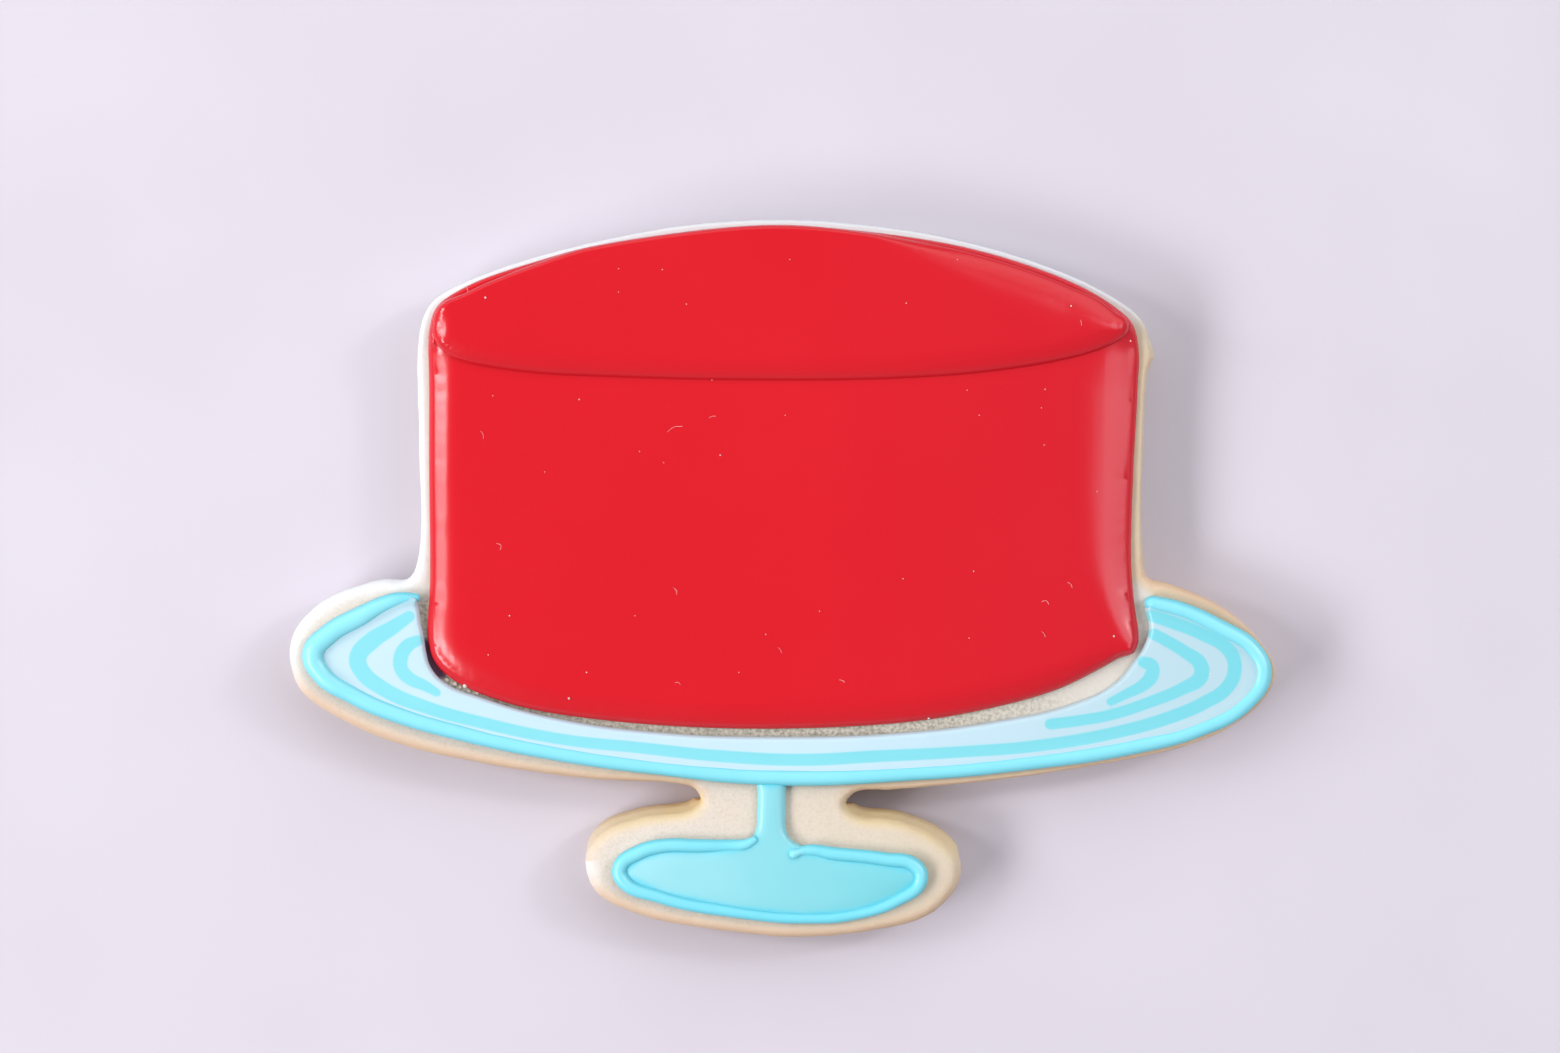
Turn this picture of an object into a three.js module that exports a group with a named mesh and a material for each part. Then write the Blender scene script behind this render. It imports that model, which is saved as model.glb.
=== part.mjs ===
// A sugar cookie cut in the shape of a cake on a footed stand and iced on top, lying flat.
// Millimetres, +Z up, with the origin on the table under the middle of the cookie.
import * as THREE from 'three';

// Driving dimensions: thickness of the cookie and heights of the icing on it.
const COOKIE_THICKNESS = 6.5;
const COOKIE_WAIST = 3.4; // height at which the cookie is widest
const BOTTOM_DRAW_IN = 0.6; // how much narrower the underside is, all round
const SHOULDER_DROP = 1.5; // deepest that the rounded rim starts below the top
const CAKE_SIDE_HEIGHT = 1.75;
const CAKE_TOP_HEIGHT = 1.25;
const PLATE_FLOOD_HEIGHT = 1.1;
const PLATE_BEAD_HEIGHT = 1.7;
const FOOT_FLOOD_HEIGHT = 1.1;
const FOOT_BEAD_HEIGHT = 1.35;
const FLOOD_EDGE = 0.8; // width of the rounded edge of the thin icing on the plate
const BEAD_GAP = 0.1; // clearance between the stem and the bead of the plate

// Smoothness of the outlines and of the rounded edges.
const STEPS_PER_KNOT = 4;
const EDGE_STEPS = 4;
const CORNER_PASSES = 4;

const COLOURS = {
  baked: '#efe3d4',
  red: '#e72630',
  paleBlue: '#d7f2fd',
  teal: '#93e8f6',
};

// Closed outlines run counterclockwise. A knot is x, y and the width of the rounded edge there.
const COOKIE_OUTLINE = [
  // crown of the cake, from its middle to the left
  [-0.2, 39.0, 0.4], [-10.4, 38.4, 0.3], [-22.7, 36.0, 0.25], [-32.7, 32.9, 0.3], [-37.9, 30.1, 0.4],
  [-39.3, 26.5, 0.6], [-39.3, 14.0, 0.7], [-39.3, 3.0, 0.7], [-40.4, 0.2, 1.0],
  // left end of the plate
  [-43.7, -0.1, 1.1], [-49.2, -2.0, 1.3], [-52.6, -5.2, 1.3], [-53.4, -8.3, 1.2], [-52.2, -12.0, 1.2],
  [-48.1, -15.0, 1.2], [-41.4, -17.9, 1.2], [-32.9, -19.9, 1.0], [-21.5, -21.6, 0.9], [-11.2, -22.2, 0.5],
  // left notch and left end of the foot
  [-9.5, -22.7, 0.8], [-8.8, -24.0, 1.0], [-9.9, -24.9, 1.1], [-15.2, -25.7, 1.4], [-19.1, -27.1, 1.4],
  [-21.2, -29.7, 1.3], [-20.3, -33.7, 1.2], [-15.4, -36.4, 1.1], [-5.8, -38.2, 1.0],
  // right end of the foot and right notch
  [2.2, -38.8, 1.0], [10.6, -38.0, 1.0], [16.2, -36.3, 1.2], [19.1, -33.2, 1.4], [19.3, -30.3, 1.4],
  [17.5, -28.2, 1.4], [12.9, -26.1, 1.4], [8.3, -25.5, 1.1], [7.0, -24.4, 1.0], [8.1, -23.1, 0.8],
  // right end of the plate
  [12.9, -22.8, 0.6], [30.3, -20.8, 0.35], [46.9, -16.9, 0.2], [52.3, -13.0, 0.15], [53.5, -9.9, 0.15],
  [51.8, -6.6, 0.15], [47.6, -2.9, 0.5], [42.3, -0.5, 0.9], [39.7, 0.3, 0.7],
  // right side of the cake, with a small bulge near its corner
  [39.2, 3.4, 0.5], [39.2, 14.0, 0.3], [39.7, 22.3, 0.5], [40.4, 24.3, 0.9], [40.0, 26.0, 0.8],
  [38.9, 28.3, 0.4], [35.9, 30.6, 0.35], [30.4, 33.3, 0.35], [19.1, 36.8, 0.35], [8.5, 38.5, 0.4],
];

const CAKE_SIDE_OUTLINE = [
  // under the cake top, where the rim is narrow
  [-2.3, 38.3, 0.35], [-19.5, 36.2, 0.35], [-26.1, 34.5, 0.4], [-33.8, 31.8, 0.4], [-37.3, 29.4, 0.35],
  // left side and lower left corner
  [-38.1, 27.0, 0.35], [-38.2, 25.2, 0.6], [-38.1, 22.0, 2.4], [-38.1, 12.0, 3.0], [-38.0, 0.0, 2.8],
  [-38.2, -6.6, 2.2], [-37.5, -8.9, 2.0], [-35.1, -11.1, 2.2], [-28.8, -13.6, 2.6],
  // lower edge and the pointed lower right corner
  [-18.5, -15.3, 2.8], [-3.0, -16.15, 2.8], [13.9, -15.4, 2.8], [23.6, -13.7, 2.8], [30.1, -11.8, 2.4],
  [34.4, -9.7, 1.8], [36.6, -8.5, 1.2], [38.0, -8.0, 0.9], [38.6, -6.7, 1.2],
  // right side
  [38.1, -2.2, 2.8], [37.8, 2.1, 4.0], [38.0, 10.7, 4.2], [38.5, 20.5, 3.0], [38.6, 25.0, 1.0],
  [37.9, 27.7, 0.35], [35.7, 29.7, 0.35], [32.3, 31.7, 0.4], [26.9, 33.9, 0.45], [19.0, 36.1, 0.4],
  [7.4, 37.8, 0.35],
];

const CAKE_TOP_OUTLINE = [
  // upper edge to the left tip
  [-4.5, 37.6, 2.0], [-20.2, 35.3, 1.8], [-29.6, 32.4, 1.5], [-35.5, 29.8, 1.0], [-37.2, 28.2, 0.7],
  [-37.6, 26.9, 0.7], [-37.0, 25.2, 0.9], [-35.1, 23.8, 1.5],
  // lower edge to the right tip
  [-28.0, 22.4, 2.2], [-17.4, 21.8, 2.4], [-4.5, 21.5, 2.4], [10.2, 21.6, 2.4], [21.4, 22.3, 2.4],
  [30.0, 23.6, 2.0], [34.3, 24.8, 1.4], [36.6, 26.0, 0.9], [37.2, 27.3, 0.8], [36.2, 28.6, 1.0],
  // upper edge back to the middle
  [32.8, 30.5, 2.0], [26.8, 32.8, 2.7], [18.5, 35.2, 2.8], [9.5, 36.9, 2.4],
];

// The plate is drawn by ribs that cross it, from its left tip round to its right tip. A rib is the middle
// of the piped bead, the half width of the bead, and the point where the thin icing ends near the cake.
const PLATE_RIBS = [
  { bead: [-39.5, -2.0], half: 0.5, inner: [-39.25, -2.9] },
  { bead: [-41.8, -2.3], half: 0.9, inner: [-39.1, -3.7] },
  { bead: [-45.4, -4.0], half: 1.15, inner: [-39.0, -4.6] },
  { bead: [-48.8, -6.1], half: 1.15, inner: [-38.8, -5.5] },
  { bead: [-50.2, -8.0], half: 1.15, inner: [-38.6, -6.6] },
  { bead: [-49.4, -10.2], half: 1.1, inner: [-38.4, -7.9] },
  { bead: [-46.5, -12.3], half: 1.05, inner: [-37.9, -9.5] },
  { bead: [-41.5, -14.5], half: 1.0, inner: [-36.3, -11.3] },
  { bead: [-35.0, -16.4], half: 0.95, inner: [-32.6, -12.8] },
  { bead: [-26.0, -18.4], half: 0.9, inner: [-25.0, -15.0] },
  { bead: [-14.0, -20.2], half: 0.85, inner: [-13.5, -16.7] },
  { bead: [0.0, -21.3], half: 0.85, inner: [0.0, -17.2] },
  { bead: [14.0, -20.9], half: 0.85, inner: [13.0, -16.7] },
  { bead: [27.0, -19.7], half: 0.85, inner: [23.5, -15.3] },
  { bead: [38.0, -18.0], half: 0.9, inner: [31.5, -13.4] },
  { bead: [45.5, -15.9], half: 0.95, inner: [36.0, -11.2] },
  { bead: [50.0, -13.3], half: 1.05, inner: [38.0, -8.9] },
  { bead: [51.9, -10.3], half: 1.15, inner: [39.3, -6.8] },
  { bead: [50.9, -7.8], half: 1.2, inner: [39.7, -5.4] },
  { bead: [47.0, -5.3], half: 1.2, inner: [39.6, -4.4] },
  { bead: [43.0, -3.4], half: 1.05, inner: [39.4, -3.7] },
  { bead: [39.3, -2.0], half: 0.6, inner: [39.2, -3.1] },
];

// The bead round the foot, from its curled end left of the stem round to its end right of the stem.
const FOOT_BEAD = [
  [-3.4, -28.1, 0.4], [-5.0, -28.7, 0.7], [-8.8, -28.8, 0.75], [-12.9, -28.8, 0.8], [-15.6, -29.6, 0.85],
  [-17.4, -31.0, 0.85], [-17.2, -32.4, 0.85], [-13.1, -34.2, 0.8], [-5.5, -35.7, 0.8], [2.2, -36.4, 0.8],
  [7.9, -36.0, 0.8], [12.4, -34.5, 0.8], [14.9, -32.6, 0.8], [14.6, -31.1, 0.8], [11.0, -30.2, 0.75],
  [5.5, -29.6, 0.75], [2.6, -29.3, 0.7], [1.3, -29.4, 0.4],
];

// The stem flows into the foot. Its sides run up from the gap between the ends of the foot's bead.
const STEM_LEFT = [[-3.2, -28.9, 0.5], [-2.75, -27.2, 0.9], [-2.65, -25.0, 1.3], [-2.6, -22.9, 0.7]];
const STEM_RIGHT = [[0.2, -22.9, 0.7], [0.25, -25.0, 1.3], [0.3, -27.2, 0.9], [0.55, -29.0, 0.5], [1.2, -30.1, 0.6]];
const STEM_TOP_Y = -22.3;
const FLOOD_IN_FOOT_EDGE = 0.7;

const vector = ([x, y, edge = 0]) => new THREE.Vector3(x, y, edge);

// Points along a smooth curve through knots. The third number of a knot is carried along as .z.
function curvePoints(knots, closed) {
  const curve = new THREE.CatmullRomCurve3(knots.map(vector), closed, 'centripetal');
  const spans = closed ? knots.length : knots.length - 1;
  const points = curve.getPoints(spans * STEPS_PER_KNOT);
  if (closed) points.pop();
  return points;
}

// Unit vectors in the plane, to the left of the way that the points run.
function leftNormals(points, closed) {
  const last = points.length - 1;
  return points.map((point, i) => {
    const before = points[closed ? (i + last) % points.length : Math.max(i - 1, 0)];
    const after = points[closed ? (i + 1) % points.length : Math.min(i + 1, last)];
    return new THREE.Vector2(before.y - after.y, after.x - before.x).normalize();
  });
}

// Normals averaged with their neighbours, so that a rounded edge narrows at a tight corner and never folds.
function softened(normals) {
  let soft = normals;
  for (let pass = 0; pass < CORNER_PASSES; pass += 1) {
    soft = soft.map((normal, i) => {
      const before = soft.at(i - 1);
      const after = soft[(i + 1) % soft.length];
      return normal.clone().multiplyScalar(2).add(before).add(after).divideScalar(4);
    });
  }
  return soft;
}

// A closed surface through rings of equal length, with a flat lid on the first and on the last ring.
function loft(rings, lid) {
  const size = rings[0].length;
  const positions = rings.flat().flatMap((p) => [p.x, p.y, p.z]);
  const faces = [];
  for (let r = 0; r + 1 < rings.length; r += 1) {
    for (let i = 0; i < size; i += 1) {
      const a = r * size + i;
      const b = r * size + ((i + 1) % size);
      faces.push(a, b, b + size, a, b + size, a + size);
    }
  }
  const top = (rings.length - 1) * size;
  for (const [a, b, c] of lid(rings[0])) faces.push(a, c, b);
  for (const [a, b, c] of lid(rings.at(-1))) faces.push(top + a, top + b, top + c);
  const geometry = new THREE.BufferGeometry();
  geometry.setAttribute('position', new THREE.Float32BufferAttribute(positions, 3));
  geometry.setIndex(faces);
  geometry.computeVertexNormals();
  return geometry;
}

// Lid of a level ring of any outline: triangles counterclockwise seen from above.
function levelLid(ring) {
  const flat = ring.map((p) => new THREE.Vector2(p.x, p.y));
  return THREE.ShapeUtils.triangulateShape(flat, []).map((face) => {
    const corners = face.map((i) => flat[i]);
    return THREE.ShapeUtils.area(corners) > 0 ? face : face.toReversed();
  });
}

// Lid of a convex ring: a fan from its first point.
function fanLid(ring) {
  return ring.slice(2).map((_, i) => [0, i + 1, i + 2]);
}

// An icing pad: flat below, upright at its outline, and rounded over the edge width up to its top.
function pad(outline, height) {
  const normals = softened(leftNormals(outline, true));
  const rings = [];
  for (let k = 0; k <= EDGE_STEPS; k += 1) {
    const angle = (k / EDGE_STEPS) * (Math.PI / 2);
    const inset = 1 - Math.cos(angle);
    const z = height * Math.sin(angle);
    rings.push(outline.map((p, i) => new THREE.Vector3(
      p.x + normals[i].x * p.z * inset,
      p.y + normals[i].y * p.z * inset,
      z,
    )));
  }
  return loft(rings, levelLid);
}

// The cookie: drawn in at its underside, widest at its waist, and rounded at its upper rim.
function bakedBase(outline) {
  const normals = leftNormals(outline, true);
  const ring = (insetOf, heightOf) => outline.map((p, i) => new THREE.Vector3(
    p.x + normals[i].x * insetOf(p),
    p.y + normals[i].y * insetOf(p),
    heightOf(p),
  ));
  const shoulder = (p) => Math.min(SHOULDER_DROP, 1.2 * p.z);
  const rings = [
    ring(() => BOTTOM_DRAW_IN, () => 0),
    ring(() => BOTTOM_DRAW_IN / 4, () => BOTTOM_DRAW_IN / 2),
    ring(() => 0, () => COOKIE_WAIST),
  ];
  for (let k = 0; k <= EDGE_STEPS; k += 1) {
    const angle = (k / EDGE_STEPS) * (Math.PI / 2);
    rings.push(ring(
      (p) => 0.05 + (p.z - 0.05) * (1 - Math.cos(angle)),
      (p) => COOKIE_THICKNESS - shoulder(p) * (1 - Math.sin(angle)),
    ));
  }
  return loft(rings, levelLid);
}

// Cross-section of an icing strip, from its left foot over its top to its right foot.
function stripSection(left, right, height, edge) {
  const width = left.distanceTo(right);
  const round = Math.min(edge, 0.46 * width);
  const points = [];
  for (let k = 0; k <= EDGE_STEPS; k += 1) {
    const angle = (k / EDGE_STEPS) * (Math.PI / 2);
    const share = (round / width) * (1 - Math.cos(angle));
    points.push([share, height * Math.sin(angle)]);
  }
  const section = points.concat(points.map(([share, z]) => [1 - share, z]).reverse());
  return section.map(([share, z]) => new THREE.Vector3().lerpVectors(left, right, share).setZ(z));
}

// Share of its full size that a piped strip has at a distance from its rounded end.
function endTaper(distance, half) {
  const s = Math.min(distance / half, 1);
  return Math.max(Math.sqrt(s * (2 - s)), 0.3);
}

// Distance run along the points, counted from the nearer end.
function distanceFromEnds(points) {
  const run = [0];
  for (let i = 1; i < points.length; i += 1) {
    run.push(run[i - 1] + Math.hypot(points[i].x - points[i - 1].x, points[i].y - points[i - 1].y));
  }
  return run.map((d) => Math.min(d, run.at(-1) - d));
}

// Both feet of a piped bead at each point of its middle line, and its size there.
function beadFeet(middle) {
  const normals = leftNormals(middle, false);
  const fromEnds = distanceFromEnds(middle);
  return middle.map((p, i) => {
    const size = endTaper(fromEnds[i], p.z);
    const side = new THREE.Vector3(normals[i].x, normals[i].y, 0).multiplyScalar(p.z * size);
    const centre = new THREE.Vector3(p.x, p.y, 0);
    return { left: centre.clone().add(side), right: centre.clone().sub(side), size };
  });
}

function bead(feet, height) {
  return loft(feet.map(({ left, right, size }) => stripSection(left, right, height * size, Infinity)), fanLid);
}

// The thin icing of the plate: it starts at the bead's left foot and ends at the inner points of the ribs.
function plateFlood(feet, inner) {
  const skipped = STEPS_PER_KNOT / 2;
  const used = feet.slice(skipped, -skipped);
  const ends = inner.slice(skipped, -skipped);
  const fromEnds = distanceFromEnds(used.map(({ left }) => left));
  const rings = used.map(({ left }, i) => {
    const size = endTaper(fromEnds[i], FLOOD_EDGE);
    return stripSection(ends[i], left, PLATE_FLOOD_HEIGHT * size, FLOOD_EDGE);
  });
  return loft(rings, fanLid);
}

// Outline of the stem and of the icing that fills the foot inside its bead.
function stemAndFootOutline(feet) {
  const gapSteps = 3; // the bead's curled ends lie beside the stem, clear of it
  const everySecond = feet.slice(gapSteps, -gapSteps).filter((_, i) => i % 2 === 0);
  const insideBead = everySecond.map(({ left }) => left.clone().setZ(FLOOD_IN_FOOT_EDGE));
  const middleX = (STEM_LEFT.at(-1)[0] + STEM_RIGHT[0][0]) / 2;
  const top = [[STEM_RIGHT[0][0] - 0.5, STEM_TOP_Y - BEAD_GAP, 0.5], [middleX, STEM_TOP_Y, 0.7],
    [STEM_LEFT.at(-1)[0] + 0.5, STEM_TOP_Y - BEAD_GAP, 0.5]];
  const overStem = [...STEM_RIGHT.toReversed(), ...top, ...STEM_LEFT.toReversed()];
  return [...insideBead, ...curvePoints(overStem, false)];
}

function addNode(group, name, geometry, colour, roughness, z) {
  const material = new THREE.MeshStandardMaterial({ color: colour, roughness, metalness: 0 });
  const mesh = new THREE.Mesh(geometry, material);
  mesh.name = name;
  mesh.position.z = z;
  group.add(mesh);
}

const plateFeet = beadFeet(curvePoints(PLATE_RIBS.map(({ bead: [x, y], half }) => [x, y, half]), false));
const plateInner = curvePoints(PLATE_RIBS.map(({ inner }) => inner), false);
const footFeet = beadFeet(curvePoints(FOOT_BEAD, false));

const cakeCookie = new THREE.Group();
addNode(cakeCookie, 'cookie', bakedBase(curvePoints(COOKIE_OUTLINE, true)), COLOURS.baked, 0.85, 0);

const icing = new THREE.Group();
icing.position.z = COOKIE_THICKNESS;
cakeCookie.add(icing);
addNode(icing, 'cake_side_icing', pad(curvePoints(CAKE_SIDE_OUTLINE, true), CAKE_SIDE_HEIGHT), COLOURS.red, 0.3, 0);
addNode(icing, 'cake_top_icing', pad(curvePoints(CAKE_TOP_OUTLINE, true), CAKE_TOP_HEIGHT), COLOURS.red, 0.3,
  CAKE_SIDE_HEIGHT);
addNode(icing, 'plate_flood_icing', plateFlood(plateFeet, plateInner), COLOURS.paleBlue, 0.4, 0);
addNode(icing, 'plate_outline_icing', bead(plateFeet, PLATE_BEAD_HEIGHT), COLOURS.teal, 0.4, 0);
addNode(icing, 'stem_and_foot_icing', pad(stemAndFootOutline(footFeet), FOOT_FLOOD_HEIGHT), COLOURS.teal, 0.4, 0);
addNode(icing, 'foot_outline_icing', bead(footFeet, FOOT_BEAD_HEIGHT), COLOURS.teal, 0.4, 0);

export default cakeCookie;
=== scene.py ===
# %% [markdown]
# An iced sugar cookie in the shape of a cake on a footed stand, lying flat and seen from above. The packed
# model holds the true outlines and heights of every layer, so it is loaded first and each new piece is worked
# out from it. This file then gives the layers what baking and piping leave behind: a crumbly rim, glossy
# icing with rounded edges, and stripes that lie in the icing of the plate.

import bpy
import numpy as np
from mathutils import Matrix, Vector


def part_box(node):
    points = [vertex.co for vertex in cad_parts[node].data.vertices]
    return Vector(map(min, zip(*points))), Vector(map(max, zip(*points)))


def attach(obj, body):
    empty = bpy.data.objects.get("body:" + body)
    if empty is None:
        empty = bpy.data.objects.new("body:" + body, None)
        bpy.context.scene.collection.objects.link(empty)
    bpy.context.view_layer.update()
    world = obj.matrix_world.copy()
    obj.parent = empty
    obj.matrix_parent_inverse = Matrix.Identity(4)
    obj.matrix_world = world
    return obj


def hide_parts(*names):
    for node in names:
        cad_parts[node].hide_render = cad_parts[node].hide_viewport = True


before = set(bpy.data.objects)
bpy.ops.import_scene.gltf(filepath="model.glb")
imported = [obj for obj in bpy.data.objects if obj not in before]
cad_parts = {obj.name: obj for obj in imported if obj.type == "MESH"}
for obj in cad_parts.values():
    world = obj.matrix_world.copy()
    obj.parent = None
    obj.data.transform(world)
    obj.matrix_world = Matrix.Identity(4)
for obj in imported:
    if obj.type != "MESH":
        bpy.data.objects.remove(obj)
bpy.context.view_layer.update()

MM = 0.001
print("packed nodes:", ", ".join(sorted(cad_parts)))

# %% [markdown]
# The camera comes first, so that each piece can be judged from the right place. It looks straight down on the
# cookie from a little over 40 cm through a portrait lens, which keeps the outline nearly free of perspective.

# %% Camera
CAMERA_HEIGHT = 405 * MM
CAMERA_X, CAMERA_Y = -0.165 * MM, 5.72 * MM
FOCAL_LENGTH, SENSOR_WIDTH = 85, 36
NEAREST_SEEN = 10 * MM

bpy.ops.object.camera_add(location=(CAMERA_X, CAMERA_Y, CAMERA_HEIGHT), rotation=(0, 0, 0))
camera = bpy.context.object
camera.name = "overhead_camera"
camera.data.lens = FOCAL_LENGTH
camera.data.sensor_width = SENSOR_WIDTH
camera.data.clip_start = NEAREST_SEEN
bpy.context.scene.camera = camera
print("camera", round(CAMERA_HEIGHT / MM), "mm above the table")

# %% [markdown]
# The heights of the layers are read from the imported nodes, so they follow the model if it changes.

# %% Heights of the layers
cookie_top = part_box("cookie")[1].z
side_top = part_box("cake_side_icing")[1].z
crown_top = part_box("cake_top_icing")[1].z
flood_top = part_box("plate_flood_icing")[1].z
foot_flood_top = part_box("stem_and_foot_icing")[1].z
print("cookie", round(cookie_top / MM, 2), "mm, icing up to", round(crown_top / MM, 2), "mm")

# %% [markdown]
# Blender's operators act on whatever is selected. A few small helpers keep that in order: one selects a
# single object, others read and write the points of its mesh, and one selects some of its points.

# %% Selection helpers
SAME_PLACE = 0.001 * MM
SAME_HEIGHT = 0.01 * MM


def pick(obj):
    """Makes obj the only selected object and the active one, in object mode."""
    if bpy.context.object and bpy.context.object.mode != "OBJECT":
        bpy.ops.object.mode_set(mode="OBJECT")
    bpy.ops.object.select_all(action="DESELECT")
    obj.select_set(True)
    bpy.context.view_layer.objects.active = obj


def points_of(obj):
    """The points of a mesh as rows of x, y and z."""
    rows = np.zeros(len(obj.data.vertices) * 3)
    obj.data.vertices.foreach_get("co", rows)
    return rows.reshape(-1, 3)


def normals_of(obj):
    """The direction in which the surface faces at each point of a mesh."""
    rows = np.zeros(len(obj.data.vertices) * 3)
    obj.data.vertices.foreach_get("normal", rows)
    return rows.reshape(-1, 3)


def steps_between(low, high, values):
    """Rises smoothly from nothing at low to one at high."""
    share = np.clip((values - low) / (high - low), 0, 1)
    return share * share * (3 - 2 * share)


def move_points(obj, rows):
    """Writes rows of x, y and z back to the mesh."""
    obj.data.vertices.foreach_set("co", rows.astype(np.float32).ravel())
    obj.data.update()


def select_points(obj, chosen):
    """Selects the marked points and nothing else, and stays in edit mode."""
    pick(obj)
    bpy.ops.object.mode_set(mode="EDIT")
    bpy.ops.mesh.select_mode(type="VERT")
    bpy.ops.mesh.select_all(action="DESELECT")
    bpy.ops.object.mode_set(mode="OBJECT")
    obj.data.vertices.foreach_set("select", chosen)
    bpy.ops.object.mode_set(mode="EDIT")


def discard(*objects):
    """Deletes helper objects that no piece needs any more."""
    for obj in objects:
        bpy.data.objects.remove(obj, do_unlink=True)


print("helpers ready")

# %% [markdown]
# The outline of a layer could be drawn a second time by hand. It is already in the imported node, as the ring
# of points at one height, so that ring is taken from a copy and the rest of the copy is deleted. Turned into
# a curve with automatic handles, its short straight steps become one smooth line, and a fine ring of points
# comes out of the curve when it is made a mesh again.

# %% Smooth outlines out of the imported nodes
RING_STEPS = 4
LINE_STEPS = 8


def ring_at(node, height, name):
    """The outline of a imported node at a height, as a mesh of one smooth closed line."""
    ring = bpy.data.objects.new(name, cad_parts[node].data.copy())
    bpy.context.scene.collection.objects.link(ring)
    ring.data.materials.clear()
    pick(ring)
    bpy.ops.object.mode_set(mode="EDIT")
    bpy.ops.mesh.select_all(action="SELECT")
    bpy.ops.mesh.remove_doubles(threshold=SAME_PLACE)
    bpy.ops.object.mode_set(mode="OBJECT")
    select_points(ring, np.abs(points_of(ring)[:, 2] - height) > SAME_HEIGHT)
    bpy.ops.mesh.delete(type="VERT")
    bpy.ops.mesh.select_mode(type="EDGE")
    bpy.ops.mesh.select_all(action="SELECT")
    bpy.ops.mesh.region_to_loop()
    bpy.ops.mesh.select_all(action="INVERT")
    bpy.ops.mesh.delete(type="EDGE_FACE")
    bpy.ops.object.mode_set(mode="OBJECT")
    bpy.ops.object.convert(target="CURVE")
    bpy.ops.object.mode_set(mode="EDIT")
    bpy.ops.curve.select_all(action="SELECT")
    bpy.ops.curve.spline_type_set(type="BEZIER")
    bpy.ops.curve.handle_type_set(type="AUTOMATIC")
    bpy.ops.object.mode_set(mode="OBJECT")
    ring.data.resolution_u = RING_STEPS
    bpy.ops.object.convert(target="MESH")
    return ring


def smooth_line(name, knots, height, closed=False, steps=LINE_STEPS):
    """A smooth curve through knots of x, y, radius and, where one is raised, how far, in millimetres."""
    curve = bpy.data.curves.new(name, "CURVE")
    curve.dimensions = "3D"
    curve.resolution_u = steps
    spline = curve.splines.new("BEZIER")
    spline.bezier_points.add(len(knots) - 1)
    for point, (x, y, radius, *raised) in zip(spline.bezier_points, knots):
        point.co = (x * MM, y * MM, height + sum(raised) * MM)
        point.radius = radius
        point.handle_left_type = point.handle_right_type = "AUTO"
    spline.use_cyclic_u = closed
    line = bpy.data.objects.new(name, curve)
    bpy.context.scene.collection.objects.link(line)
    return line


print("outlines ready")

# %% [markdown]
# Flooded icing spreads until its own skin holds it back, so its top is level and its edge is a quarter of an
# oval. To model that, an outline is filled with one face, lifted a little, inset several times close to the
# edge where the surface bends most, and cut into small squares inside. Each point then rises by how far it
# lies from the edge. A subdivided box would need more points and would still not follow the outline.

# %% Distance to an outline
ROWS_AT_ONCE = 1500
TINY_SQUARE = 1e-16


def nearest_on(rows, line, values):
    """For each row of x and y: its distance to a closed line, and the line's value at the nearest place."""
    step = np.roll(line, -1, axis=0) - line
    following = np.roll(values, -1)
    square_length = np.maximum((step ** 2).sum(axis=1), TINY_SQUARE)
    distance = np.empty(len(rows))
    value = np.empty(len(rows))
    for first in range(0, len(rows), ROWS_AT_ONCE):
        part = slice(first, first + ROWS_AT_ONCE)
        away = rows[part, None, :] - line[None]
        along = np.clip((away * step).sum(axis=2) / square_length, 0, 1)
        gap = np.linalg.norm(away - along[..., None] * step, axis=2)
        best = gap.argmin(axis=1)
        here = np.arange(len(best))
        share = along[here, best]
        distance[part] = gap[here, best]
        value[part] = values[best] * (1 - share) + following[best] * share
    return distance, value


def distance_to(line, rows):
    """For each row of x and y: its distance to a closed line."""
    return nearest_on(rows, line, np.zeros(len(line)))[0]


def open_line(points):
    """A line that runs there and back, so that it can be measured like a closed one."""
    return np.concatenate([points, points[-2:0:-1]])


def widths_between(outer, inner):
    """How wide the bend is at each point of an outer ring: the way to the nearest point of the inner ring."""
    return distance_to(points_of(inner)[:, :2], points_of(outer)[:, :2])


# %% Filling an outline with small faces
EDGE_RINGS = [step * MM for step in (0.02, 0.04, 0.06, 0.08, 0.1, 0.13, 0.16, 0.2)]
COOKIE_RINGS = [step * MM for step in (0.05, 0.1, 0.15, 0.2, 0.25)]
FLOOD_RINGS = [step * MM for step in (0.04, 0.08, 0.12, 0.16)]
SQUARE, CROWN_SQUARE, FLOOD_SQUARE = 0.42 * MM, 0.32 * MM, 0.26 * MM
QUARTERS = (0, 0.25, 0.5, 0.75)


def closer(outline):
    """The outline with three more points between each two of its own."""
    step = (np.roll(outline, -1, axis=0) - outline)[:, None] * np.array(QUARTERS)[None, :, None]
    return (outline[:, None] + step).reshape(-1, 2)


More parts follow.
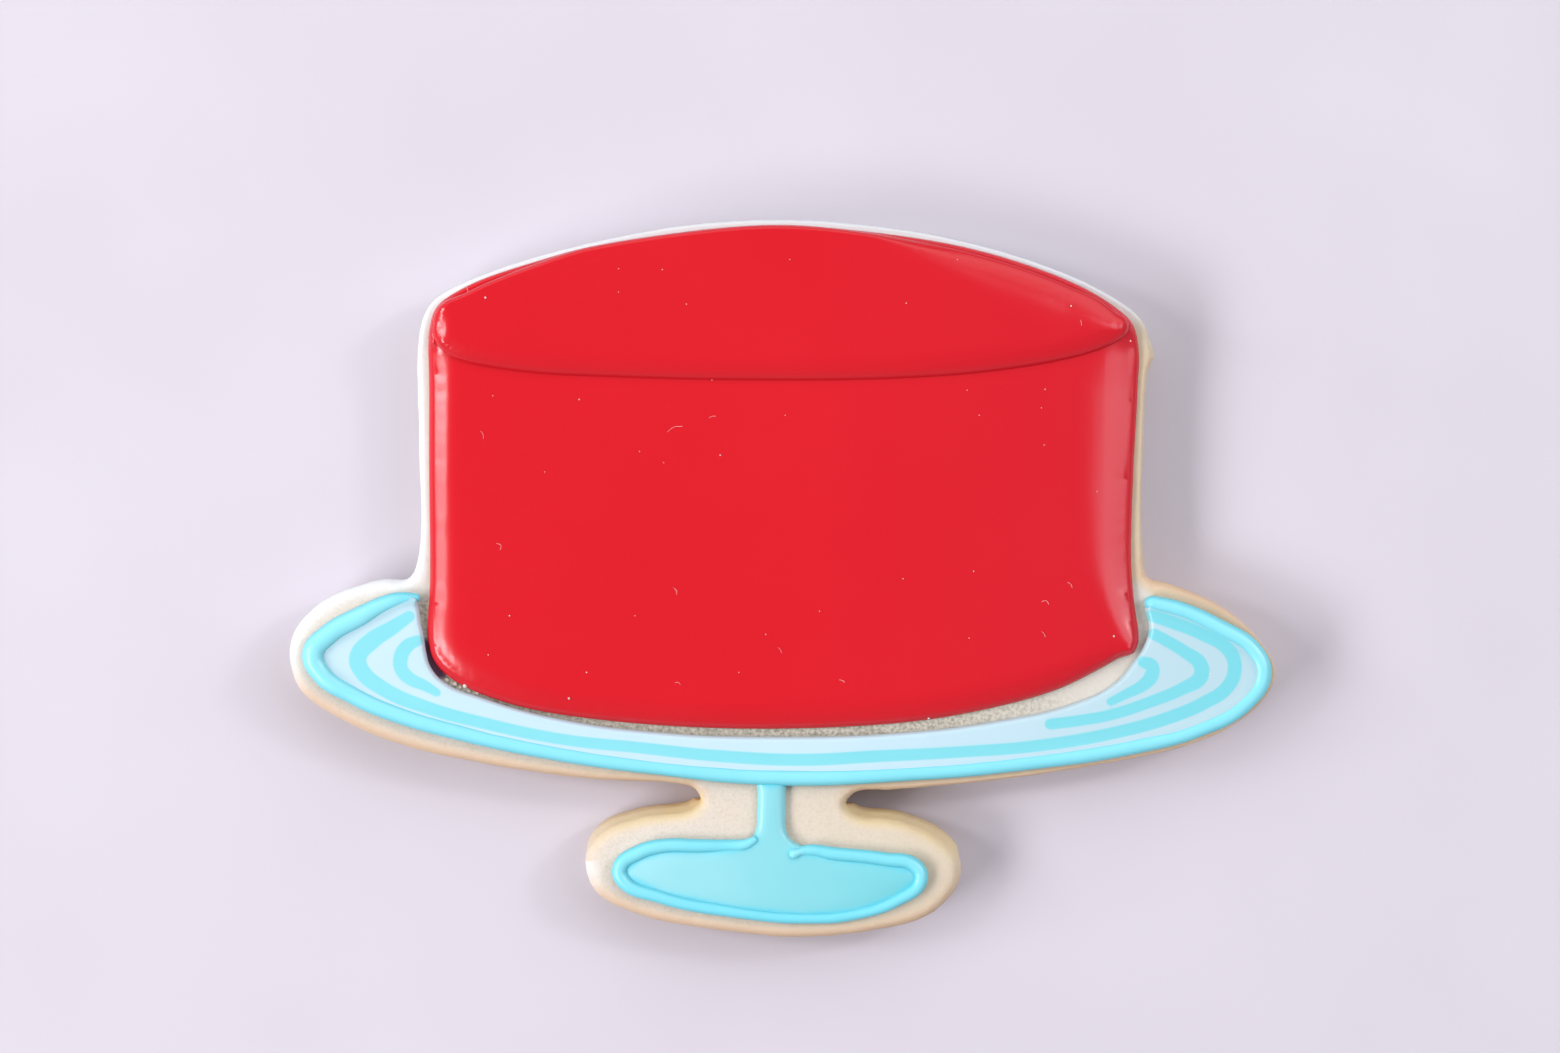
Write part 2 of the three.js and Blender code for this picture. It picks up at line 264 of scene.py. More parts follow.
def fill_outline(piece, lift, square, rings=EDGE_RINGS, even=True):
    """Makes a closed slab of an outline: the base stays, and its lifted top gets rings and small squares."""
    pick(piece)
    bpy.ops.object.mode_set(mode="EDIT")
    bpy.ops.mesh.select_all(action="SELECT")
    bpy.ops.mesh.edge_face_add()
    bpy.ops.mesh.extrude_region_move(TRANSFORM_OT_translate={"value": (0, 0, lift)})
    for width in rings:
        bpy.ops.mesh.inset(thickness=width, use_even_offset=even)
    bpy.ops.mesh.hide(unselected=True)
    rows = points_of(piece)
    for axis in (0, 1):
        normal = (1, 0, 0) if axis == 0 else (0, 1, 0)
        for place in np.arange(rows[:, axis].min() + square / 2, rows[:, axis].max(), square):
            bpy.ops.mesh.select_all(action="SELECT")
            bpy.ops.mesh.bisect(plane_co=[place * side for side in normal], plane_no=normal)
    bpy.ops.mesh.select_mode(type="FACE")
    bpy.ops.mesh.select_all(action="DESELECT")
    bpy.ops.mesh.select_face_by_sides(number=4, type="GREATER")
    bpy.ops.mesh.quads_convert_to_tris(ngon_method="BEAUTY")
    bpy.ops.mesh.reveal()
    bpy.ops.mesh.select_all(action="SELECT")
    bpy.ops.mesh.normals_make_consistent(inside=False)
    bpy.ops.object.mode_set(mode="OBJECT")
    bpy.ops.object.shade_smooth()


print("outlines can be filled")

# %% Edges of the icing
# Rows of the share of the bend's width and the share of its height.
THICK_EDGE = (
    (0, 0), (0.01, 0.08), (0.05, 0.19), (0.10, 0.31), (0.15, 0.42), (0.19, 0.48), (0.32, 0.60), (0.48, 0.76),
    (0.65, 0.90), (0.80, 0.965), (1, 1),
)
SOFT_EDGE = (
    (0, 0), (0.01, 0.10), (0.03, 0.20), (0.06, 0.29), (0.10, 0.37), (0.16, 0.46), (0.26, 0.59), (0.38, 0.715),
    (0.50, 0.81), (0.62, 0.885), (0.74, 0.94), (0.86, 0.98), (1, 1),
)
PROFILE_STEPS = 201
SOFTENING = 9


def quarter_oval(share):
    """The edge of thin icing: upright at the outline and level at the end of the bend."""
    return np.sqrt(1 - (1 - share) ** 2)


def profile_of(rows):
    """A smooth profile through rows of width share and height share."""
    places = np.linspace(0, 1, PROFILE_STEPS)
    heights = np.interp(places, *zip(*rows))
    around = np.pad(heights, SOFTENING, mode="reflect", reflect_type="odd")
    heights = np.convolve(around, np.ones(2 * SOFTENING + 1) / (2 * SOFTENING + 1), "valid")
    return lambda share: np.interp(share, places, heights)


lip_and_slope = profile_of(THICK_EDGE)
soft_slope = profile_of(SOFT_EDGE)


def round_over(piece, outline, widths, lift, top, draw_in=0.0, others=()):
    """Raises the slab's top from its edge to a level middle, and tucks its base in.

    The edge is a quarter oval, or one of the other profiles as far as its amounts at the outline say.
    """
    rows = points_of(piece)
    base = rows[:, 2].min()
    upper = rows[:, 2] > base + lift / 2
    distance, width = nearest_on(rows[upper, :2], outline, widths)
    share = np.clip(distance / width, 0, 1)
    oval = quarter_oval(share)
    height = oval.copy()
    for profile, amounts in others:
        _, amount = nearest_on(rows[upper, :2], outline, amounts)
        height += (profile(share) - oval) * amount
    rows[upper, 2] = base + lift + (top - base - lift) * height
    outward = outward_of(outline)
    lower = np.flatnonzero(~upper)
    for first in range(0, len(lower), ROWS_AT_ONCE):
        part = lower[first:first + ROWS_AT_ONCE]
        gap = ((rows[part, None, :2] - outline[None]) ** 2).sum(axis=2)
        rows[part, :2] -= outward[gap.argmin(axis=1)] * draw_in
    move_points(piece, rows)


def outward_of(outline):
    """The outward direction at each point of a closed outline, whichever way round it runs."""
    following = np.roll(outline, -1, axis=0)
    ahead = following - np.roll(outline, 1, axis=0)
    outward = np.stack([ahead[:, 1], -ahead[:, 0]], axis=1)
    outward /= np.linalg.norm(outward, axis=1)[:, None]
    runs_clockwise = (outline[:, 0] * following[:, 1] - outline[:, 1] * following[:, 0]).sum() < 0
    return -outward if runs_clockwise else outward


def even_out(piece, outline, clear_of_edge, rounds):
    """Smooths the heights inside, away from the edge, so that no ridge is left where two bends meet."""
    rows = points_of(piece)
    distance = distance_to(outline, rows[:, :2])
    weight = np.clip(distance / clear_of_edge - 1, 0, 1)
    weight[rows[:, 2] < rows[:, 2].min() + SAME_HEIGHT] = 0
    group = piece.vertex_groups.new(name="inside")
    for index in np.flatnonzero(weight > 0):
        group.add([int(index)], float(weight[index]), "REPLACE")
    pick(piece)
    bpy.ops.object.modifier_add(type="SMOOTH")
    modifier = piece.modifiers[-1]
    modifier.use_x = modifier.use_y = False
    modifier.factor = 0.5
    modifier.iterations = rounds
    modifier.vertex_group = "inside"
    bpy.ops.object.modifier_apply(modifier=modifier.name)


def roughen(piece, name, size, strength):
    """Pushes the surface in and out by a noise with bumps of a size, as far as a strength."""
    texture = bpy.data.textures.new(name, "CLOUDS")
    texture.noise_scale = size
    pick(piece)
    bpy.ops.object.modifier_add(type="DISPLACE")
    modifier = piece.modifiers[-1]
    modifier.texture = texture
    modifier.strength = strength
    modifier.mid_level = 0.5
    bpy.ops.object.modifier_apply(modifier=modifier.name)


print("icing tools ready")

# %% [markdown]
# The cookie is rolled dough, cut out and baked. The cutter leaves an upright wall, and in the oven the top
# edge slumps into a soft shoulder and the wall bulges a little at its middle. The whole outline is filled and
# its wall is cut into low bands, so that the crumb can roughen wall and top alike.

# %% Cookie
SHOULDER_DROP = 1.5 * MM
COOKIE_WAIST = 3.4 * MM
BOTTOM_DRAW_IN = 0.6 * MM
BAND = 0.45 * MM
WAIST_CURVE = 1.5

cookie = ring_at("cookie", COOKIE_WAIST, "baked_cookie")
cookie_flat = ring_at("cookie", cookie_top, "cookie_flat_ring")
cookie_outline = points_of(cookie)[:, :2].copy()
cookie_widths = widths_between(cookie, cookie_flat)
discard(cookie_flat)
rows = points_of(cookie)
rows[:, 2] = 0
move_points(cookie, rows)
shoulder = cookie_top - SHOULDER_DROP
fill_outline(cookie, shoulder, SQUARE, COOKIE_RINGS)
round_over(cookie, cookie_outline, cookie_widths, shoulder, cookie_top)
select_points(cookie, points_of(cookie)[:, 2] < shoulder + SAME_HEIGHT)
for level in np.arange(BAND, shoulder - BAND / 2, BAND):
    bpy.ops.mesh.select_all(action="SELECT")
    bpy.ops.mesh.bisect(plane_co=(0, 0, level), plane_no=(0, 0, 1))
bpy.ops.object.mode_set(mode="OBJECT")
print("cookie:", len(cookie.data.polygons), "faces")

# %% Cookie wall
NOTCH_Y = (-31 * MM, -22.5 * MM)
NOTCH_FLARE = 1.1 * MM
FLARE_FACING = (0.2, 0.9)
LEAST_SLOPE = 0.01

rows = points_of(cookie)
normals = normals_of(cookie)
wall = rows[:, 2] < shoulder - SAME_HEIGHT
flat = normals[:, :2] / np.maximum(np.linalg.norm(normals[:, :2], axis=1), LEAST_SLOPE)[:, None]
below_waist = np.clip(1 - rows[:, 2] / COOKIE_WAIST, 0, 1)
in_notch = (rows[:, 1] > NOTCH_Y[0]) & (rows[:, 1] < NOTCH_Y[1]) & (flat[:, 1] > 0)
below_shoulder = np.sqrt(np.clip(1 - rows[:, 2] / shoulder, 0, 1))
flare = NOTCH_FLARE * below_shoulder * steps_between(*FLARE_FACING, flat[:, 1]) * in_notch
rows[wall, :2] += flat[wall] * (flare - BOTTOM_DRAW_IN * below_waist ** WAIST_CURVE)[wall, None]
move_points(cookie, rows)
print("wall bulges", round(BOTTOM_DRAW_IN / MM, 1), "mm at the waist")

# %% [markdown]
# The side of the cake is one pool of red icing. It stands steep at the top and runs out in a wide soft bend
# at the left, right and bottom, which is where the window shows as long highlights.

# %% Side of the cake
LIFT = 0.25 * MM
SIDE_TUCK = 0.14 * MM
FACING_BACK, FACING_RIGHT = (0.2, 0.8), (0.1, 0.8)
EVEN_FROM, EVEN_ROUNDS = 0.6 * MM, 12
SIDE_BENDS = (
    # x, y and how wide the edge bends there, in millimetres
    (-2.3, 38.3, 0.35), (-19.5, 36.2, 0.35), (-33.8, 31.8, 0.40), (-37.3, 29.4, 0.40), (-38.1, 25.5, 0.80),
    (-38.2, 24.7, 3.00), (-38.1, 12.0, 2.80), (-38.0, 0.0, 2.90), (-38.2, -6.6, 3.70), (-37.5, -8.9, 4.10),
    (-35.1, -11.1, 3.90), (-28.8, -13.6, 3.10), (-18.5, -15.3, 2.80), (-3.0, -16.15, 2.80),
    (13.9, -15.4, 2.80), (23.6, -13.7, 2.80), (30.1, -11.8, 2.40), (34.4, -9.7, 1.80), (36.6, -8.5, 1.20),
    (38.0, -8.0, 0.90),
    (38.6, -6.7, 1.40), (38.1, -2.2, 3.40), (37.8, 2.1, 5.00), (38.0, 10.7, 6.20), (38.5, 20.5, 6.40),
    (38.6, 25.0, 4.60), (37.9, 27.7, 0.60), (35.7, 29.7, 0.35), (26.9, 33.9, 0.45), (7.4, 37.8, 0.35),
)


def bends_at(outline, bends):
    """How wide the bend is at each point of an outline."""
    knots = np.array([bend[:2] for bend in bends]) * MM
    _, width = nearest_on(outline, knots, np.array([bend[2] for bend in bends]) * MM)
    return width


side = ring_at("cake_side_icing", cookie_top, "red_cake_side")
side_outline = closer(points_of(side)[:, :2])
side_widths = bends_at(side_outline, SIDE_BENDS)
fill_outline(side, LIFT, SQUARE)
outward = outward_of(side_outline)
not_back = 1 - steps_between(*FACING_BACK, outward[:, 1])
at_right = steps_between(*FACING_RIGHT, outward[:, 0])
others = ((lip_and_slope, not_back * (1 - at_right)), (soft_slope, not_back * at_right))
round_over(side, side_outline, side_widths, LIFT, side_top, draw_in=SIDE_TUCK, others=others)
even_out(side, side_outline, EVEN_FROM, EVEN_ROUNDS)
narrowest, widest = (round(float(width) / MM, 1) for width in (side_widths.min(), side_widths.max()))
print("side:", len(side.data.polygons), "faces, bends", narrowest, "to", widest, "mm wide")

# %% [markdown]
# The top of the cake is a second, thicker pool laid on the first once that had dried, so a fine line and a
# soft shadow part the two.

# %% Top of the cake
SUNK = 0.5 * MM
CROWN_LIFT = SUNK + 0.1 * MM
CROWN_EVEN_FROM = 0.5 * MM
MOVED_FACING, BEND_FACING, PROFILE_FACING = (0.2, 0.5), (0.3, 0.7), (0, 0.7)
CROWN_TIPS = ((-37.5, 27.0), (37.4, 27.0))
TIP_BENDS = (2.0 * MM, 1.5 * MM)
TIP_REACH = 3.0 * MM
TIP_WIDENING = 0.35
FRONT_BEND = 2.2 * MM
BACK_BEND_LEFT, BACK_BEND_RIGHT = 0.5 * MM, 4.0 * MM
BACK_BEND_GROWS = (9 * MM, 26 * MM)
RIGHT_TIP_CENTRE = (36.0, 27.25)
RIGHT_TIP_ROUND = 1.4 * MM
SIDE_BEHIND = (
    # x, and how much of the cake's side shows behind its top, in millimetres
    (-37.6, 0.42), (-37.2, 0.35), (-36.4, 0.28), (-35.6, 0.38), (-34.9, 0.55), (-33.8, 0.72), (-30.9, 0.62),
    (-28.7, 0.48), (-26.5, 0.36), (-24.4, 0.25), (-21.0, 0.14), (6.0, 0.12), (10.0, 0.25), (15.0, 0.45),
    (22.5, 0.60), (31.0, 0.66), (33.7, 0.45), (36.0, 0.50),
)

crown = ring_at("cake_top_icing", side_top, "red_cake_top")
crown_flat = ring_at("cake_top_icing", crown_top, "crown_flat_ring")
crown_outline = points_of(crown)[:, :2].copy()
crown_widths = widths_between(crown, crown_flat)
discard(crown_flat)
outward = outward_of(crown_outline)
behind = distance_to(side_outline, crown_outline)
wanted = np.interp(crown_outline[:, 0] / MM, *zip(*SIDE_BEHIND)) * MM
crown_outline += outward * ((behind - wanted) * steps_between(*MOVED_FACING, outward[:, 1]))[:, None]
from_centre = crown_outline - np.array(RIGHT_TIP_CENTRE) * MM
far = np.linalg.norm(from_centre, axis=1)
blunt = far < RIGHT_TIP_ROUND
crown_outline[blunt] += (from_centre * (RIGHT_TIP_ROUND / far - 1)[:, None])[blunt]
outward = outward_of(crown_outline)
grown = steps_between(*BACK_BEND_GROWS, crown_outline[:, 0])
back_bend = BACK_BEND_LEFT + (BACK_BEND_RIGHT - BACK_BEND_LEFT) * grown
crown_widths += (back_bend - crown_widths) * steps_between(*BEND_FACING, outward[:, 1])
crown_widths = np.maximum(crown_widths, FRONT_BEND * np.clip(-outward[:, 1], 0, 1))
for tip, bend in zip(CROWN_TIPS, TIP_BENDS):
    from_tip = np.linalg.norm(crown_outline - np.array(tip) * MM, axis=1)
    crown_widths = np.maximum(crown_widths, bend * np.exp(-(from_tip / TIP_REACH) ** 2))
    crown_widths = np.minimum(crown_widths, bend + TIP_WIDENING * from_tip)
rows = points_of(crown)
rows[:, :2] = crown_outline
rows[:, 2] = side_top - SUNK
move_points(crown, rows)
fill_outline(crown, CROWN_LIFT, CROWN_SQUARE)
at_back = steps_between(*PROFILE_FACING, outward[:, 1])
others = ((lip_and_slope, 1 - at_back), (soft_slope, at_back * grown))
round_over(crown, crown_outline, crown_widths, CROWN_LIFT, crown_top, others=others)
even_out(crown, crown_outline, CROWN_EVEN_FROM, EVEN_ROUNDS)
print("top:", len(crown.data.polygons), "faces")

# %% [markdown]
# The rim of the plate is a bead of teal icing, piped in one pull from the left of the cake round to its
# right, and the plate is flooded in pale blue up to that bead. The same points serve both: the bead runs
# through the first pair of each row, with the third number as its half width, and the last pair lies on the
# inner border of the flood. They are places on the real cookie, in millimetres.

# %% Points of the plate
PLATE_RIBS = (
    (-39.5, -2.0, 0.50, -39.25, -2.9),
    (-41.8, -2.3, 0.90, -39.1, -3.7),
    (-45.4, -4.0, 1.15, -39.0, -4.6),
    (-49.0, -6.1, 1.20, -38.8, -5.5),
    (-50.5, -8.0, 1.25, -38.6, -6.6),
    (-49.6, -10.2, 1.15, -38.4, -7.9),
    (-46.5, -12.3, 1.05, -37.9, -9.5),
    (-41.5, -14.5, 1.00, -36.3, -11.2),
    (-35.0, -16.4, 0.95, -32.6, -12.7),
    (-26.0, -18.4, 0.90, -25.0, -14.85),
    (-14.0, -20.2, 0.85, -13.5, -16.5),
    (-1.1, -21.3, 0.95, 0.0, -17.0),
    (14.0, -20.9, 0.85, 13.0, -16.55),
    (27.0, -19.7, 0.85, 23.5, -15.25),
    (38.0, -18.0, 0.90, 31.5, -13.4),
    (45.5, -16.0, 0.85, 36.0, -11.2),
    (50.1, -13.4, 0.88, 38.0, -8.9),
    (52.0, -10.3, 0.94, 39.3, -6.8),
    (51.0, -7.7, 0.97, 39.7, -5.4),
    (47.1, -5.15, 0.95, 39.6, -4.4),
    (43.0, -3.3, 0.93, 39.4, -3.7),
    (40.0, -2.55, 0.82, 39.3, -3.1),
)
print(len(PLATE_RIBS), "ribs along the plate")

# %% [markdown]
# The flood is filled like the cake. Its outer border runs under the middle of the bead, where it can't be
# seen, and only its inner border, against the cake, is rounded. Where it meets the bead, wet icing climbs it
# a little, so the height rises there, and the crease beside the bead is painted darker as painted shade.

# %% Flood of the plate
FLOOD_EDGE = 0.5
HIDDEN_EDGE = 0.06
FLOOD_TUCK = 0.08 * MM
CLIMB_REACH = 0.25 * MM
CLIMB_ABOVE = 0.6 * MM
BEAD_FOOT = 0.9
PLATE_CLIMB, PLATE_SHADE_REACH = 0.12 * MM, 0.35 * MM
CREASE_SHADE_SEEN, CREASE_SHADE_UNSEEN = (-13 * MM, -9 * MM), 0.15


def line_points(line):
    """The points of a curve object, once it is made a mesh."""
    pick(line)
    bpy.ops.object.convert(target="MESH")
    return points_of(line)[:, :2].copy()


def flood_between(name, border):
    """A flood inside a closed border of x, y and edge width, in millimetres."""
    piece = smooth_line(name, border, cookie_top, closed=True)
    outline = line_points(piece)
    knots = np.array([knot[:2] for knot in border]) * MM
    widths = np.array([knot[2] for knot in border]) * MM
    _, edge = nearest_on(outline, knots, widths)
    fill_outline(piece, LIFT, FLOOD_SQUARE, FLOOD_RINGS, even=False)
    return piece, outline, edge


def keep_value(piece, name, values):
    """Stores a number at each point of a piece, for its material to read."""
    attribute = piece.data.attributes.new(name, "FLOAT", "POINT")
    attribute.data.foreach_set("value", values.astype(np.float32))


def climb(piece, bead_points, bead_half, rise, shade_reach, fades=False):
    """Raises the flood where it touches a bead, and keeps how close each point is to that crease, as an
    amount of painted shade.

    Where it fades, that painted shade is hardly seen along the front of the plate, whose bead is lit from
    there.
    """
    rows = points_of(piece)
    distance, half = nearest_on(rows[:, :2], open_line(bead_points), open_line(bead_half))
    away = np.maximum(distance - BEAD_FOOT * half, 0)
    raised = rows[:, 2] > cookie_top + CLIMB_ABOVE
    rows[raised, 2] += (rise * np.exp(-away / CLIMB_REACH))[raised]
    move_points(piece, rows)
    # Painted shade: darkest in the crease where the flood meets the bead, fading away from it.
    crease = np.exp(-away / shade_reach)
    if fades:
        crease *= CREASE_SHADE_UNSEEN + (1 - CREASE_SHADE_UNSEEN) * steps_between(*CREASE_SHADE_SEEN, rows[:, 1])
    keep_value(piece, "crease", crease)


plate_border = [(x, y, HIDDEN_EDGE) for x, y, half, _, _ in PLATE_RIBS]
plate_border += [(x, y, FLOOD_EDGE) for _, _, _, x, y in reversed(PLATE_RIBS)]
plate_flood, plate_outline, plate_edge = flood_between("pale_plate_flood", plate_border)
round_over(plate_flood, plate_outline, plate_edge, LIFT, flood_top, draw_in=FLOOD_TUCK)
bead_points = np.array([rib[:2] for rib in PLATE_RIBS]) * MM
bead_half = np.array([rib[2] for rib in PLATE_RIBS]) * MM
climb(plate_flood, bead_points, bead_half, PLATE_CLIMB, PLATE_SHADE_REACH, fades=True)
print("plate flood:", len(plate_flood.data.polygons), "faces")

# %% [markdown]
# The stripes were piped in teal into the wet pale flood, so they lie flush in it with crisp sides and round
# ends. Painting them needs no mesh of their own: each point of the flood keeps its distance to the nearest
# stripe edge as an attribute, and the material turns teal where that distance falls below nothing.

# %% Stripes in the flood
# Each row has knots of x, y and half width in millimetres.
STRIPES = (
    # one long stripe round the whole plate
    ((-40.2, -4.0, 0.62), (-42.0, -5.2, 0.8), (-44.2, -6.6, 0.95), (-45.7, -8.4, 0.95), (-45.4, -9.7, 0.9),
     (-43.1, -11.7, 0.80), (-38.3, -13.8, 0.70), (-32.5, -15.4, 0.64), (-23.9, -17.2, 0.60),
     (-15.3, -18.15, 0.62), (-6.6, -19.05, 0.65), (2.0, -19.45, 0.66), (10.6, -19.05, 0.65),
     (19.3, -18.6, 0.62), (27.9, -17.9, 0.64),
     (36.5, -16.4, 0.66), (42.1, -14.8, 0.70), (45.6, -13.3, 0.72), (48.1, -11.6, 0.74), (48.9, -9.6, 0.76),
     (48.3, -7.7, 0.74), (45.2, -5.8, 0.70), (42.1, -4.6, 0.70), (40.0, -3.9, 0.66)),
    # the inner curl at the left
    ((-39.3, -6.6, 0.6), (-40.4, -7.2, 0.75), (-41.1, -8.5, 0.8), (-41.0, -9.7, 0.75), (-40.1, -10.7, 0.7),
     (-38.6, -11.4, 0.6), (-37.2, -12.2, 0.45)),
    # the middle one at the right
    ((40.2, -5.9, 0.62), (41.7, -6.7, 0.64), (43.5, -7.8, 0.66), (45.2, -9.2, 0.80), (45.2, -10.5, 0.82),
     (43.4, -11.7, 0.68), (39.8, -13.2, 0.62), (35.5, -14.6, 0.60), (32.2, -15.2, 0.60), (29.0, -15.6, 0.60)),
    # the inner curl at the right
    ((39.0, -8.9, 0.6), (39.9, -9.3, 0.75), (39.9, -10.4, 0.78), (39.0, -11.4, 0.66), (37.3, -12.3, 0.54),
     (35.5, -13.2, 0.44)),
)

rows = points_of(plate_flood)
to_edge = np.full(len(rows), 1000 * MM)
for stripe in STRIPES:
    line = smooth_line("stripe_line", stripe, cookie_top)
    points = line_points(line)
    knots = np.array([knot[:2] for knot in stripe]) * MM
    halves = np.array([knot[2] for knot in stripe]) * MM
    _, half = nearest_on(points, open_line(knots), open_line(halves))
    distance, half = nearest_on(rows[:, :2], open_line(points), open_line(half))
    to_edge = np.minimum(to_edge, distance - half)
    discard(line)
keep_value(plate_flood, "stripe", to_edge / MM)
print(len(STRIPES), "stripes,", round(float((to_edge < 0).mean()) * 100), "% of the points are teal")

# %% [markdown]
# A piped bead is as round as the hole of its tip, sits a little into the surface, and tapers where the hand
# started and stopped. A curve with a round bevel and a radius at each point is exactly that. Made a mesh, it
# is cut level with the cookie and its underside is closed.

# %% Bead round the plate
BEAD_STEPS = 14
BEAD_ROUNDNESS = 8
BEAD_CENTRE = 0.6 * MM
BEAD_SUNK = 0.03 * MM
BEAD_MERGE = 0.005 * MM
TIP_ROUNDING = ((0.5, 0.87), (0.85, 0.53), (1.0, 0.02))
BEAD_SHADE_FROM, BEAD_SHADE_TO = 1.7, 2.6


def with_round_tips(knots):
    """Adds a few points beyond each end, where the radius falls away like the end of a ball."""
    for _ in range(2):
        knots = list(reversed(knots))
        (x1, y1, r1, *raised), (x0, y0, *_) = knots[-1], knots[-2]
        length = ((x1 - x0) ** 2 + (y1 - y0) ** 2) ** 0.5
        for reach, share in TIP_ROUNDING:
            step = r1 * reach / length
            knots.append((x1 + (x1 - x0) * step, y1 + (y1 - y0) * step, r1 * share, *raised))
    return knots


def piped_bead(name, knots):
    """A round bead of icing along knots of x, y and half width, cut level with the cookie."""
    bead = smooth_line(name, with_round_tips(knots), cookie_top + BEAD_CENTRE, steps=BEAD_STEPS)
    bead.data.bevel_depth = 1 * MM
    bead.data.bevel_resolution = BEAD_ROUNDNESS
    bead.data.use_fill_caps = True
    pick(bead)
    bpy.ops.object.convert(target="MESH")
    bpy.ops.object.mode_set(mode="EDIT")
    bpy.ops.mesh.select_all(action="SELECT")
    bpy.ops.mesh.remove_doubles(threshold=BEAD_MERGE)
    bpy.ops.mesh.bisect(plane_co=(0, 0, cookie_top - BEAD_SUNK), plane_no=(0, 0, 1), use_fill=True,
                        clear_inner=True)
    bpy.ops.mesh.select_all(action="SELECT")
    bpy.ops.mesh.normals_make_consistent(inside=False)
    bpy.ops.object.mode_set(mode="OBJECT")
    bpy.ops.object.shade_smooth()
    # Painted shade: the bead is painted darker low down, where it meets the surface below it.
    level = (points_of(bead)[:, 2] - cookie_top) / BEAD_CENTRE
    keep_value(bead, "crease", np.clip((BEAD_SHADE_TO - level) / (BEAD_SHADE_TO - BEAD_SHADE_FROM), 0, 1))
    return bead


plate_bead = piped_bead("teal_plate_bead", [rib[:3] for rib in PLATE_RIBS])
print("plate bead:", len(plate_bead.data.polygons), "faces")

# %% [markdown]
# The foot of the stand is a pool of teal inside a bead of its own, and the stem runs up from it in one pour
# until it slips under the bead of the plate. The ends of that bead overlap the pool, so they are raised. The
# pool is painted darker, as painted shade, in the crease along its bead and under the bead of the plate.

# %% Stem and foot
# Knots of x, y and how wide the edge bends, in millimetres.
STEM_LEFT = (
    (-4.6, -28.4, 0.3), (-3.5, -28.05, 0.5), (-2.85, -27.2, 0.9), (-2.65, -25.0, 1.3), (-2.6, -22.9, 1.2),
    (-2.6, -21.6, 1.2),
)
STEM_RIGHT = (
    (0.45, -21.6, 1.2), (0.45, -22.9, 1.2), (0.45, -25.0, 1.3), (0.55, -27.2, 0.9), (1.05, -28.1, 0.5),
    (2.3, -28.75, 0.35),
)
FOOT_DOME = 2.4
FOOT_TUCK = 0.05 * MM
FOOT_EVEN_FROM, FOOT_EVEN_ROUNDS = 0.3 * MM, 8
FOOT_CLIMB, FOOT_SHADE_REACH = 0.04 * MM, 0.16 * MM
SHADE_UNDER_BEAD_REACH = 0.18 * MM
CREASE_SHADE_FULL = 1.3
FOOT_BEAD = (
    # x, y and half width in millimetres, and how far the bead is raised where one end lies on the pool
    (-3.0, -28.15, 0.45, 0.35), (-3.9, -28.6, 0.60, 0.25), (-5.4, -28.75, 0.70), (-8.8, -28.8, 0.75),
    (-12.9, -28.8, 0.80), (-15.6, -29.6, 0.85), (-17.4, -31.0, 0.85), (-17.2, -32.4, 0.80),
    (-13.1, -34.3, 0.70), (-5.5, -35.85, 0.65), (2.2, -36.6, 0.58), (7.9, -36.2, 0.60), (12.5, -34.65, 0.66),
    (15.0, -32.6, 0.74), (14.6, -31.1, 0.78), (11.0, -30.2, 0.75), (5.5, -29.6, 0.75),
    (2.9, -29.25, 0.65, 0.1), (2.0, -29.4, 0.48, 0.35), (1.35, -29.6, 0.58, 0.45),
)

foot_border = list(reversed(STEM_LEFT)) + [(x, y, FOOT_DOME) for x, y, *_ in FOOT_BEAD[3:-3]]
foot_border += list(reversed(STEM_RIGHT))
foot_flood, foot_outline, foot_edge = flood_between("teal_stem_and_foot", foot_border)
round_over(foot_flood, foot_outline, foot_edge, LIFT, foot_flood_top, draw_in=FOOT_TUCK)
even_out(foot_flood, foot_outline, FOOT_EVEN_FROM, FOOT_EVEN_ROUNDS)
foot_points = np.array([knot[:2] for knot in FOOT_BEAD]) * MM
foot_half = np.array([knot[2] for knot in FOOT_BEAD]) * MM
climb(foot_flood, foot_points, foot_half, FOOT_CLIMB, FOOT_SHADE_REACH)
# Painted shade: the pool is painted darker where the bead of the plate lies over it.
to_bead, half = nearest_on(points_of(foot_flood)[:, :2], open_line(bead_points), open_line(bead_half))
shade_under_bead = np.exp(-np.maximum(to_bead - half, 0) / SHADE_UNDER_BEAD_REACH)
crease = foot_flood.data.attributes["crease"].data
for point, shade in zip(crease, shade_under_bead):
    point.value = max(point.value, CREASE_SHADE_FULL * float(shade))
foot_bead = piped_bead("teal_foot_bead", list(FOOT_BEAD))
print("foot:", len(foot_flood.data.polygons), "faces, bead:", len(foot_bead.data.polygons), "faces")

# %% [markdown]
# Each finish is a small node tree on the Principled shader. Nothing on a real cookie is one flat colour, so a
# noise of a natural scale drives the colour and another the roughness.

# %% Material tools
# Noises have so many bumps to the metre, and a gloss is a lowest and a highest roughness.
BROAD_NOISE, STREAK_NOISE, FINE_NOISE, SKIN_NOISE = 70, 160, 500, 900
SOFT_GLOSS, WET_GLOSS = (0.27, 0.36), (0.19, 0.26)
SKIN_DEPTH = 0.003 * MM


def finish(name, roughness, specular=0.5):
    """A new material; returns it, its node tree and its Principled shader."""
    material = bpy.data.materials.new(name)
    material.use_nodes = True
    tree = material.node_tree
    shader = tree.nodes["Principled BSDF"]
    shader.inputs["Roughness"].default_value = roughness
    shader.inputs["Specular IOR Level"].default_value = specular
    return material, tree, shader


